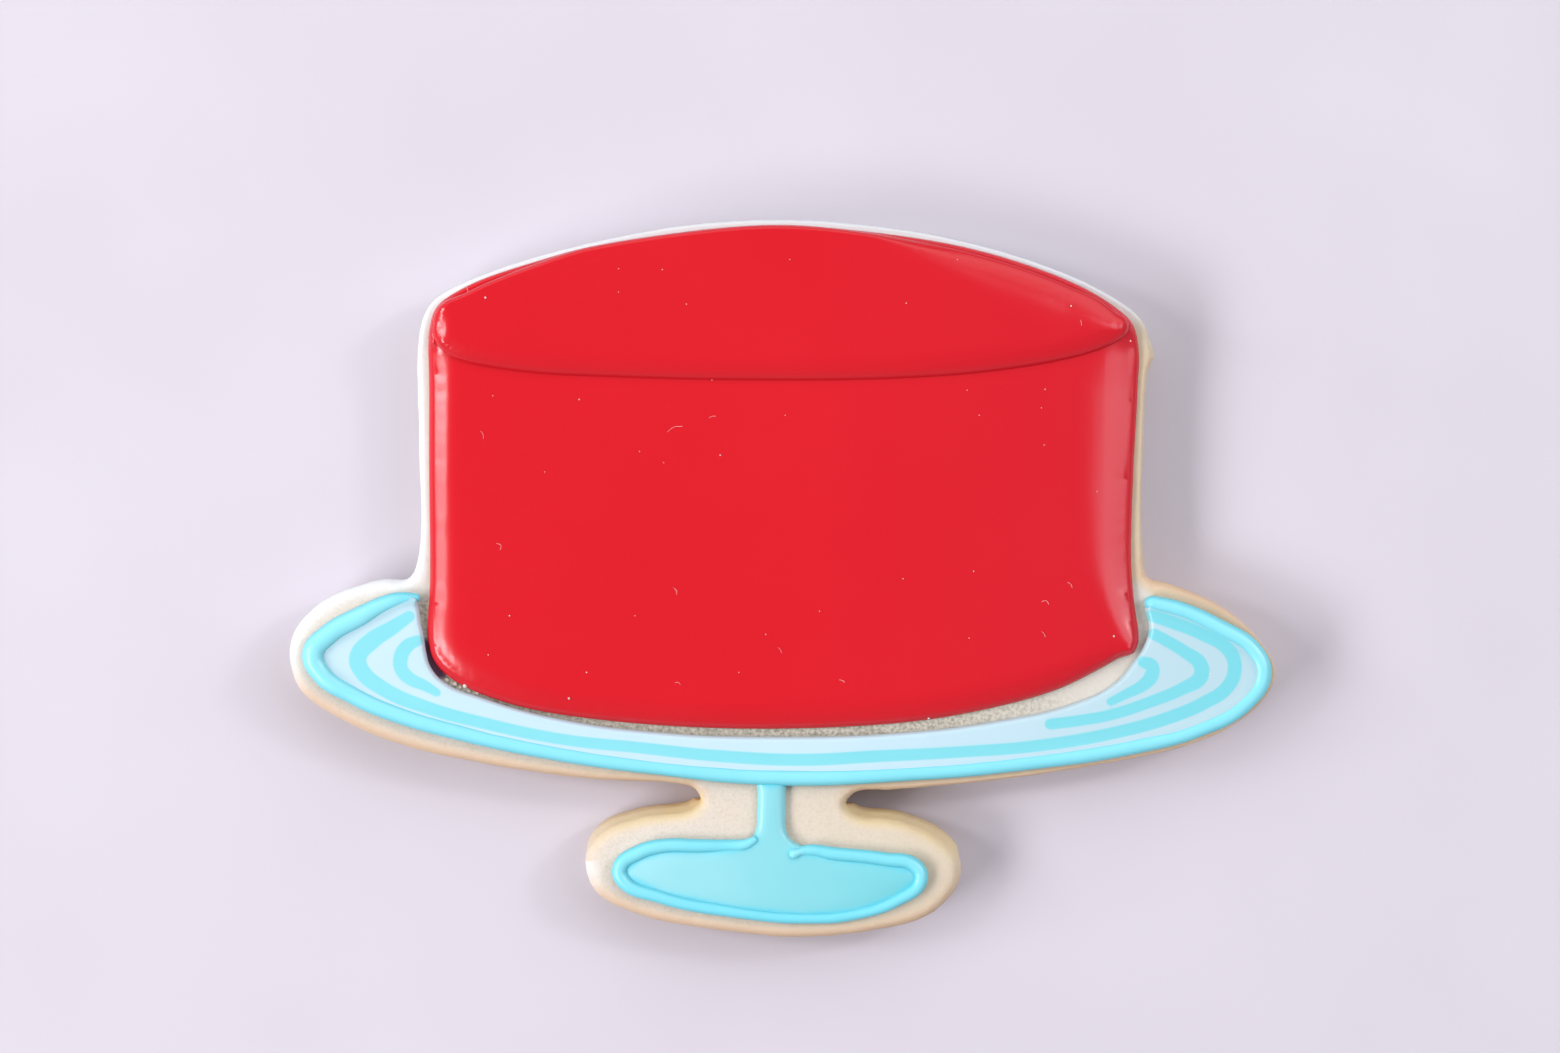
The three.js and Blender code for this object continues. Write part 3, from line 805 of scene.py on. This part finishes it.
def noise(tree, scale, detail=2.0):
    """A noise on the object's own coordinates, with so many bumps to the metre."""
    place = tree.nodes.new("ShaderNodeTexCoord")
    texture = tree.nodes.new("ShaderNodeTexNoise")
    texture.inputs["Scale"].default_value = scale
    texture.inputs["Detail"].default_value = detail
    tree.links.new(place.outputs["Object"], texture.inputs["Vector"])
    return texture.outputs["Fac"]


def across(tree, left, right):
    """Rises from nothing at the left to one at the right, between two places on the object's x axis."""
    place = tree.nodes.new("ShaderNodeTexCoord")
    parts = tree.nodes.new("ShaderNodeSeparateXYZ")
    spread = tree.nodes.new("ShaderNodeMapRange")
    spread.inputs["From Min"].default_value = left
    spread.inputs["From Max"].default_value = right
    tree.links.new(place.outputs["Object"], parts.inputs["Vector"])
    tree.links.new(parts.outputs["X"], spread.inputs["Value"])
    return spread.outputs["Result"]


def ramp(tree, factor, *stops):
    """Turns a factor into a colour by way of stops of place and colour."""
    colours = tree.nodes.new("ShaderNodeValToRGB")
    elements = colours.color_ramp.elements
    for element, (place, colour) in zip(elements, (stops[0], stops[-1])):
        element.position = place
        element.color = (*colour, 1)
    for place, colour in stops[1:-1]:
        element = elements.new(place)
        element.color = (*colour, 1)
    tree.links.new(factor, colours.inputs["Fac"])
    return colours.outputs["Color"]


def uneven(tree, shader, factor, low, high):
    """Lets the roughness run from low to high with a factor."""
    spread = tree.nodes.new("ShaderNodeMapRange")
    spread.inputs["To Min"].default_value = low
    spread.inputs["To Max"].default_value = high
    tree.links.new(factor, spread.inputs["Value"])
    tree.links.new(spread.outputs["Result"], shader.inputs["Roughness"])


def mixed(tree, factor, first, second):
    """Mixes two colours, each a socket or a plain colour, by a factor."""
    mix = tree.nodes.new("ShaderNodeMix")
    mix.data_type = "RGBA"
    tree.links.new(factor, mix.inputs["Factor"])
    for socket, colour in ((mix.inputs[6], first), (mix.inputs[7], second)):
        if isinstance(colour, tuple):
            socket.default_value = (*colour, 1)
        else:
            tree.links.new(colour, socket)
    return mix.outputs[2]


def kept_value(tree, name, low=0.0, high=1.0):
    """A value kept at the points of the piece, spread so that low becomes nothing and high becomes one."""
    kept = tree.nodes.new("ShaderNodeAttribute")
    kept.attribute_name = name
    spread = tree.nodes.new("ShaderNodeMapRange")
    spread.inputs["From Min"].default_value = low
    spread.inputs["From Max"].default_value = high
    tree.links.new(kept.outputs["Fac"], spread.inputs["Value"])
    return spread.outputs["Result"]


def fine_bump(tree, shader, factor, distance):
    """Adds a bump too fine for the mesh."""
    bump = tree.nodes.new("ShaderNodeBump")
    bump.inputs["Distance"].default_value = distance
    tree.links.new(factor, bump.inputs["Height"])
    tree.links.new(bump.outputs["Normal"], shader.inputs["Normal"])


def crease_shaded(tree, plain, tint):
    """The plain colour of a pool or bead, with a painted shade colour in the crease where the two meet."""
    return mixed(tree, kept_value(tree, "crease", 0, CREASE_SHADE_FULL), plain, tint)


def dried_icing(tree, shader, colour):
    """Gives a shader its colour, and the fine unevenness and soft gloss of dried icing."""
    tree.links.new(colour, shader.inputs["Base Color"])
    uneven(tree, shader, noise(tree, FINE_NOISE, 4), *SOFT_GLOSS)
    fine_bump(tree, shader, noise(tree, SKIN_NOISE, 3), SKIN_DEPTH)


print("material tools ready")

# %% Red icing
RED = (0.59, 0.008, 0.016)
RED_DEEP = (0.56, 0.0055, 0.013)
# The colour at the right is painted shade: the red is painted darker towards the right, away from the window.
RED_PAINTED_SHADE_RIGHT = (0.54, 0.007, 0.017)
RED_SHADE_SPAN = (5 * MM, 40 * MM)
GLOSS_NOISE = 60

red, tree, shader = finish("red_icing_finish", 0.2)
plain = ramp(tree, noise(tree, BROAD_NOISE), (0.0, RED_DEEP), (1.0, RED))
# Painted shade: the red turns darker from the left to the right.
shade_to_the_right = across(tree, *RED_SHADE_SPAN)
tree.links.new(mixed(tree, shade_to_the_right, plain, RED_PAINTED_SHADE_RIGHT), shader.inputs["Base Color"])
uneven(tree, shader, noise(tree, GLOSS_NOISE), *WET_GLOSS)
print("red icing ready")

# %% Teal and pale blue icing
TEAL = (0.218, 0.635, 0.715)
TEAL_PALE = (0.26, 0.675, 0.745)
# The crease colour is painted shade, where a bead meets the surface below it.
TEAL_CREASE_SHADE = (0.1, 0.535, 0.65)
PALE = (0.465, 0.625, 0.7)
PALE_LIGHT = (0.495, 0.65, 0.72)
# The crease colour of the pale flood is painted shade, beside the bead.
PALE_CREASE_SHADE = (0.31, 0.51, 0.575)
STRIPE = (0.19, 0.578, 0.635)
STRIPE_PALE = (0.228, 0.61, 0.665)
# The two colours for the right of the plate are painted shade: the stripes and the pale flood are painted
# darker from the middle of the plate to its right end.
STRIPE_PAINTED_SHADE = (0.164, 0.54, 0.6)
PALE_PAINTED_SHADE = (0.4, 0.55, 0.6)
FOOT_LIGHT = (0.27, 0.597, 0.645)
FOOT_LIGHTEST = (0.313, 0.63, 0.673)
# The dark colour of the foot is painted shade: the foot is painted darker from its left end to its right end.
FOOT_PAINTED_SHADE = (0.165, 0.53, 0.578)
FOOT_ENDS = (-17 * MM, 13 * MM)
PLATE_MIDDLE, PLATE_RIGHT_END = 0 * MM, 50 * MM
STRIPE_BORDER = 0.1
PALE_NOISE = 120

teal, tree, shader = finish("teal_icing_finish", 0.3)
plain = ramp(tree, noise(tree, STREAK_NOISE), (0.2, TEAL), (0.8, TEAL_PALE))
# Painted shade in the crease at the foot of the bead.
dried_icing(tree, shader, crease_shaded(tree, plain, TEAL_CREASE_SHADE))

foot_teal, tree, shader = finish("foot_teal_icing_painted_shade_finish", 0.3)
# Painted shade: the foot turns darker towards its right end.
shade_over_the_foot = across(tree, *FOOT_ENDS)
streaks = ramp(tree, noise(tree, STREAK_NOISE), (0.2, FOOT_LIGHT), (0.8, FOOT_LIGHTEST))
shaded = mixed(tree, shade_over_the_foot, streaks, FOOT_PAINTED_SHADE)
dried_icing(tree, shader, crease_shaded(tree, shaded, TEAL_CREASE_SHADE))

pale, tree, shader = finish("pale_blue_icing_finish", 0.3)
# Painted shade: the flood and its stripes darken towards the right.
shade_to_the_right = across(tree, PLATE_MIDDLE, PLATE_RIGHT_END)
plain = ramp(tree, noise(tree, PALE_NOISE), (0.2, PALE), (0.8, PALE_LIGHT))
plain = crease_shaded(tree, mixed(tree, shade_to_the_right, plain, PALE_PAINTED_SHADE), PALE_CREASE_SHADE)
striped = ramp(tree, noise(tree, STREAK_NOISE), (0.2, STRIPE), (0.8, STRIPE_PALE))
striped = mixed(tree, shade_to_the_right, striped, STRIPE_PAINTED_SHADE)
in_stripe = kept_value(tree, "stripe", STRIPE_BORDER, -STRIPE_BORDER)
dried_icing(tree, shader, mixed(tree, in_stripe, plain, striped))
print("teal and pale icing ready")

# %% Sugar grains
SUGAR = (0.75, 0.66, 0.64)
SUGAR_DULL = (0.65, 0.45, 0.43)
GRAIN_NOISE = 300

sugar, tree, shader = finish("sugar_grain_finish", 0.5)
grain_colour = ramp(tree, noise(tree, GRAIN_NOISE), (0.4, SUGAR_DULL), (0.6, SUGAR))
tree.links.new(grain_colour, shader.inputs["Base Color"])
print("sugar ready")

# %% Baked cookie
BAKED_TOP = (0.645, 0.555, 0.483)
# The colour at the right is painted shade: the cookie's top is painted darker towards the right, away from
# the window.
BAKED_PAINTED_SHADE_RIGHT = (0.56, 0.46, 0.33)
BAKED_SPOT = (0.585, 0.49, 0.4)
BAKED_WALL = (0.66, 0.51, 0.3)
# The rim colour is partly the rim's own browning and partly painted shade, on slopes that face away from the
# lights.
RIM_BROWN_AND_SHADE = (0.645, 0.45, 0.3)
# The pale colour is painted light, for the slopes that face the window.
PAINTED_LIGHT_PALE = (0.71, 0.73, 0.74)
BAKED_STRIP = (0.59, 0.565, 0.52)
# These three colours are painted shade in the gap between the cake and the plate, the darkest a painted
# shadow deep in that gap.
BAKED_SHADE = (0.518, 0.474, 0.39)
SHADE_PIT = (0.26, 0.24, 0.19)
DEEP_SHADE = (0.10, 0.04, 0.07)
BAKED_SHADE_SPAN = (-12 * MM, 30 * MM)
SPOT_NOISE, PIT_NOISE, CRUMB_NOISE = 3200, 2600, 3600
CRUMB_DEPTH = 0.05 * MM

baked, tree, shader = finish("baked_cookie_finish", 0.85, specular=0.2)
colour = ramp(tree, noise(tree, SPOT_NOISE, 4), (0.3, BAKED_SPOT), (0.55, BAKED_TOP))
# Painted shade: the top turns darker from the left to the right.
colour = mixed(tree, across(tree, *BAKED_SHADE_SPAN), colour, BAKED_PAINTED_SHADE_RIGHT)
shaded = ramp(tree, noise(tree, PIT_NOISE, 5), (0.35, SHADE_PIT), (0.6, BAKED_SHADE))
# Of these layers, the pale one is painted light, the rim one is partly browning and partly painted shade, and
# the last two are painted shade in the gap between the cake and the plate.
LAYERS = (("pale", PAINTED_LIGHT_PALE), ("rim_brown_and_shade", RIM_BROWN_AND_SHADE), ("toast", BAKED_WALL), ("strip", BAKED_STRIP),
          ("between", shaded), ("deep", DEEP_SHADE))
for name, tint in LAYERS:
    colour = mixed(tree, kept_value(tree, name), colour, tint)
tree.links.new(colour, shader.inputs["Base Color"])
fine_bump(tree, shader, noise(tree, CRUMB_NOISE, 5), CRUMB_DEPTH)
print("baked cookie ready")

# %% [markdown]
# The oven colours the cookie unevenly. Its walls beside the stem and the two notches there are toasted, and
# its rim is browner on the slopes that face away from the lights and at the right lobe, partly from its own
# browning and partly as painted shade. The slopes that face the window are painted almost white, as painted
# light. The strip of bare cookie between the cake and the plate is greyer, and where it is narrow it is
# painted darker as the shade of the icing, with a painted shadow deep in the gap at the lower left of the
# cake. Each is kept as a value at the cookie's points, from its slope and its place.

# %% Where the cookie is toasted, and where light and shade are painted on it
STEEP = (0.04, 0.5)
NOTCH_BAND = (0.45 * MM, 1.5 * MM)
RIM_BAND = (0.2 * MM, 2.0 * MM)
STRIP_WIDE, STRIP_NARROW, BARE_STRIP = 2.6, 0.8, 0.8
STEM_REACH = 13 * MM
LOBE_FROM, LOBE_BELOW = (26 * MM, 38 * MM), (0, 6 * MM)
# How much browning and painted shade the rim of the right lobe gets, and how much less painted shade falls in
# its gap.
LOBE_BROWN_AND_SHADE, LOBE_LIT = 0.8, 0.85
# Points along the deep gap at the lower left of the cake, where a painted shadow lies.
DEEP_GAP = ((-38.5, -7.2), (-38.0, -8.8), (-36.9, -10.2))
DEEP_REACH = 0.9 * MM

rows = points_of(cookie)
normals = normals_of(cookie)
outward = outward_of(cookie_outline)
to_rim, facing_x = nearest_on(rows[:, :2], cookie_outline, outward[:, 0])
_, facing_y = nearest_on(rows[:, :2], cookie_outline, outward[:, 1])
steep = steps_between(*STEEP, 1 - normals[:, 2])
at_notch = (rows[:, 1] > NOTCH_Y[0]) & (rows[:, 1] < NOTCH_Y[1])
in_notch = at_notch & (facing_y > 0)
notch_band = facing_y * (1 - steps_between(*NOTCH_BAND, to_rim)) * (0.85 + 0.15 * facing_x)
rim = np.maximum(steep, 1 - steps_between(*RIM_BAND, to_rim))
beside_stem = at_notch & (np.abs(rows[:, 0]) < STEM_REACH)
right_lobe = steps_between(*LOBE_FROM, rows[:, 0]) * (1 - steps_between(*LOBE_BELOW, rows[:, 1]))
toast = np.maximum(steep * beside_stem * (facing_y > -0.5), notch_band * in_notch)
# The rim is browner partly from its own browning and partly as painted shade, on the slopes that face away
# from the lights and on the right lobe.
rim_brown_and_shade = np.maximum(rim * np.clip(0.25 - 0.7 * facing_y, 0, 1), LOBE_BROWN_AND_SHADE * rim * right_lobe)
# Painted light: the rim slopes that face the window are painted almost white.
to_window = np.clip(0.5 - 0.8 * facing_x + 0.9 * facing_y, 0, 1)
painted_light_side = rim * to_window * ~in_notch * ~beside_stem * (1 - right_lobe)
inner_border = np.array([rib[3:5] for rib in PLATE_RIBS]) * MM
to_flood = distance_to(open_line(inner_border), rows[:, :2])
strip = (distance_to(side_outline, rows[:, :2]) + to_flood) / MM
to_deep = distance_to(open_line(np.array(DEEP_GAP) * MM), rows[:, :2])
keep_value(cookie, "toast", np.clip(toast, 0, 1))
keep_value(cookie, "rim_brown_and_shade", rim_brown_and_shade)
keep_value(cookie, "pale", np.clip(painted_light_side, 0, 1))
# The bare strip between the cake and the plate is greyer. Where it is narrow it is painted darker, as painted
# shade of the icing, less on the lit right lobe, and a painted shadow lies deep in the gap at the lower left.
in_shade = 1 - steps_between(STRIP_NARROW, STRIP_WIDE, strip)
keep_value(cookie, "strip", BARE_STRIP * (1 - steps_between(STRIP_WIDE, 1.6 * STRIP_WIDE, strip)))
keep_value(cookie, "between", in_shade * (1 - LOBE_LIT * right_lobe))
keep_value(cookie, "deep", 1 - steps_between(0.5 * DEEP_REACH, DEEP_REACH, to_deep))
print("toasted points:", int((toast > 0.5).sum()))

# %% [markdown]
# Crumb is real relief: two noises push the cookie's surface, one for its soft unevenness and one for the
# grain. The two beads of icing get a slightly weaker one, and the pools none, since sugar levels itself as
# it sets.

# %% Relief
roughen(cookie, "soft_unevenness", 4 * MM, 0.14 * MM)
roughen(cookie, "crumb", 0.8 * MM, 0.11 * MM)
roughen(plate_bead, "piping_unevenness", 5 * MM, 0.10 * MM)
roughen(foot_bead, "piping_unevenness", 4 * MM, 0.10 * MM)
rows = points_of(cookie)
rows[:, 2] = np.maximum(rows[:, 2], 0)
move_points(cookie, rows)
print("relief applied")

# %% [markdown]
# Grains of sugar and short threads of lint lie on the icing, as they do on any cookie that dried in a
# kitchen. Scattering them at random would be easy, but the real ones sit in known places, so each has a row
# of its own. A ray from above finds the surface that it lies on, and all of them are joined into one small
# piece.

# %% Grains and lint
GRAINS = (
    # x, y and radius in millimetres
    (-31.8, 30.3, 0.11), (-12.8, 33.3, 0.06), (-17.5, 33.4, 0.05), (-17.5, 30.9, 0.05), (-10.2, 29.6, 0.06),
    (-21.8, 19.4, 0.07), (-31.1, 19.8, 0.05), (-7.5, 21.5, 0.06), (-15.3, 13.8, 0.06), (-6.6, 13.4, 0.07),
    (-12.7, 12.6, 0.05), (-25.5, 11.6, 0.05), (18.9, 34.4, 0.05), (0.9, 34.4, 0.05), (13.4, 29.7, 0.07),
    (31.1, 29.4, 0.09), (20.0, 20.4, 0.05), (28.4, 20.5, 0.06), (21.3, 17.7, 0.05), (28.0, 18.5, 0.05),
    (0.4, 17.7, 0.05), (28.3, 14.5, 0.06), (37.6, 25.7, 0.08), (-29.3, -3.9, 0.08), (-21.0, -10.0, 0.08),
    (-22.9, -12.8, 0.12), (-1.7, -5.9, 0.07), (-15.8, -3.9, 0.05), (-31.6, -8.1, 0.06), (-4.6, -10.0, 0.06),
    (13.1, 0.1, 0.06), (20.7, 0.9, 0.07), (35.8, -6.1, 0.12), (20.2, -6.3, 0.06), (4.1, -3.4, 0.06),
    (34.0, 9.5, 0.06), (15.9, -15.0, 0.12), (46.3, -10.2, 0.10),
)
LINT = (
    # the ends of each thread and how far its middle bows out
    (-12.3, 15.9, -10.7, 16.5, 0.25), (-7.8, 17.4, -7.1, 17.6, 0.1), (-32.4, 16.0, -32.1, 15.2, 0.1),
    (32.1, 27.9, 32.2, 27.3, 0.05), (-30.7, 3.9, -30.3, 3.2, 0.3), (-11.6, -0.9, -11.3, -1.6, 0.15),
    (-0.4, -7.3, 0.0, -7.9, 0.1), (30.8, -0.3, 31.3, -0.9, 0.15), (28.0, -2.4, 28.8, -2.7, 0.3),
    (28.0, -5.6, 28.4, -6.2, 0.1), (6.2, -10.8, 6.8, -11.1, 0.1), (-11.5, -11.1, -10.9, -11.3, 0.15),
    (-33.9, 31.5, -33.8, 30.9, 0.03),
)
CRUMBS = (
    # loose crumbs in the gap at the lower left of the cake
    (-36.2, -10.9, 0.22), (-35.3, -11.3, 0.26), (-34.7, -11.7, 0.20), (-34.2, -11.5, 0.24),
    (-33.8, -12.1, 0.18), (-32.9, -12.3, 0.24),
)
THREAD = 0.015
ABOVE_ALL = 20 * MM


def surface_below(x, y):
    """The highest point of the pieces at an x and y in millimetres."""
    layer = bpy.context.view_layer
    return bpy.context.scene.ray_cast(layer.depsgraph, (x * MM, y * MM, ABOVE_ALL), (0, 0, -1))[1]


def scatter(name, grains):
    """One small rough ball for each grain, half sunk in what lies below it; returns the joined piece."""
    balls = []
    for x, y, radius in grains:
        place = surface_below(x, y)
        bpy.ops.mesh.primitive_ico_sphere_add(subdivisions=2, radius=radius * MM, location=place)
        balls.append(bpy.context.object)
    pick(balls[0])
    for ball in balls:
        ball.select_set(True)
    bpy.ops.object.join()
    bpy.ops.object.transform_apply(location=True, rotation=True, scale=True)
    piece = bpy.context.object
    piece.name = name
    return piece


def thread(x0, y0, x1, y1, bow):
    """A thread of lint between two places, lying on the icing."""
    length = ((x1 - x0) ** 2 + (y1 - y0) ** 2) ** 0.5
    x = (x0 + x1) / 2 - (y1 - y0) * bow / length
    y = (y0 + y1) / 2 + (x1 - x0) * bow / length
    knots = ((x0, y0, THREAD), (x, y, THREAD), (x1, y1, THREAD))
    line = smooth_line("lint", knots, surface_below(x, y).z, steps=4)
    line.data.bevel_depth = 1 * MM
    line.data.bevel_resolution = 1
    line.data.use_fill_caps = True
    pick(line)
    bpy.ops.object.convert(target="MESH")
    return line


bpy.context.view_layer.update()
grains = scatter("sugar_grains_and_lint", GRAINS)
threads = [thread(*ends) for ends in LINT]
pick(grains)
for line in threads:
    line.select_set(True)
bpy.ops.object.join()
crumbs = scatter("loose_crumbs", CRUMBS)
roughen(crumbs, "crumb_shape", 0.3 * MM, 0.15 * MM)
print(len(GRAINS), "grains,", len(LINT), "threads,", len(CRUMBS), "crumbs")

# %% [markdown]
# Every piece gets its finish and rides on the one body, and the imported node that it stands for is hidden.

# %% Hand the pieces to the frame
PIECES = (
    (cookie, baked, "baked_cookie", "cookie"),
    (side, red, "red_icing", "cake_side_icing"),
    (crown, red, "red_icing", "cake_top_icing"),
    (plate_flood, pale, "pale_blue_icing", "plate_flood_icing"),
    (plate_bead, teal, "teal_icing", "plate_outline_icing"),
    (foot_flood, foot_teal, "teal_icing", "stem_and_foot_icing"),
    (foot_bead, teal, "teal_icing", "foot_outline_icing"),
)
EXTRAS = ((grains, sugar, "red_icing"), (crumbs, baked, "baked_cookie"))
for piece, material, slot, *stands_for in PIECES + EXTRAS:
    piece.data.materials.clear()
    piece.data.materials.append(material)
    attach(piece, "root")
    for node in stands_for:
        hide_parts(node)
print(len(PIECES + EXTRAS), "pieces ride on the root")

# %% [markdown]
# The floor is plain and pale. Two window panes at the left make the narrow highlight, with the frame between
# them as its dim middle. A broad, weak and bluish panel at the upper right makes the wide one, and a small
# lamp beyond it the spot on the right tip. A pale wall behind the cake and a dim room fill the shadows, so
# the slopes that face away from the wall turn a deeper red. Nothing shines from overhead, so the level icing
# keeps its full colour.

# %% Floor
FLOOR, FLOOR_PALE = (0.548, 0.50, 0.548), (0.572, 0.523, 0.572)
FLOOR_NOISE = 30

bpy.ops.mesh.primitive_plane_add(size=3, location=(0, 0, 0))
floor = bpy.context.object
floor.name = "pale_floor"
floor_finish, tree, shader = finish("pale_floor_finish", 0.8, specular=0.2)
floor_colour = ramp(tree, noise(tree, FLOOR_NOISE), (0.3, FLOOR), (0.7, FLOOR_PALE))
tree.links.new(floor_colour, shader.inputs["Base Color"])
floor.data.materials.append(floor_finish)
print("floor laid")

# %% Light
WINDOW_LIGHT, PANEL_LIGHT = (0.95, 0.97, 1.0), (0.88, 0.94, 1.04)
LAMP_LIGHT, WALL_LIGHT = (1.0, 1.0, 1.0), (1.0, 0.98, 0.98)
LIGHTS = (
    # name, place, width and height in metres, watts, and colour
    ("upper_window_pane", (-0.738, 0.135, 0.55), 0.17, 0.44, 3.7, WINDOW_LIGHT),
    ("lower_window_pane", (-0.690, -0.293, 0.55), 0.48, 0.27, 6.3, WINDOW_LIGHT),
    ("right_panel", (0.502, 0.203, 0.585), 0.46, 0.66, 2.7, PANEL_LIGHT),
    ("right_lamp", (0.66, 0.30, 0.60), 0.09, 0.14, 1.4, LAMP_LIGHT),
    ("wall_behind", (0.0, 0.85, 0.7), 2.0, 0.7, 5.9, WALL_LIGHT),
)


def soft_light(name, place, width, height, watts, colour):
    """A rectangular light that faces the cookie."""
    bpy.ops.object.light_add(type="AREA", location=place)
    light = bpy.context.object
    light.name = name
    light.data.shape = "RECTANGLE"
    light.data.size = width
    light.data.size_y = height
    light.data.energy = watts
    light.data.color = colour
    light.rotation_euler = light.location.to_track_quat("Z", "Y").to_euler()


for lamp in LIGHTS:
    soft_light(*lamp)
print(len(LIGHTS), "lights")

# %% Room
ABOVE, BEFORE, BEHIND = (0.18, 0.18, 0.185), (0.5, 0.5, 0.53), (0.3, 0.3, 0.31)

world = bpy.data.worlds.new("dim_room")
world.use_nodes = True
tree = world.node_tree
place = tree.nodes.new("ShaderNodeTexCoord")
parts = tree.nodes.new("ShaderNodeSeparateXYZ")
backward = tree.nodes.new("ShaderNodeMapRange")
backward.inputs["From Min"].default_value = -1
tree.links.new(place.outputs["Generated"], parts.inputs["Vector"])
tree.links.new(parts.outputs["Y"], backward.inputs["Value"])
before_cake = ramp(tree, parts.outputs["Z"], (0.0, BEFORE), (1.0, ABOVE))
behind_cake = ramp(tree, parts.outputs["Z"], (0.0, BEHIND), (1.0, ABOVE))
room = mixed(tree, backward.outputs["Result"], before_cake, behind_cake)
tree.links.new(room, tree.nodes["Background"].inputs["Color"])
bpy.context.scene.world = world
bpy.context.scene.view_settings.view_transform = "Standard"
print("dim room ready")
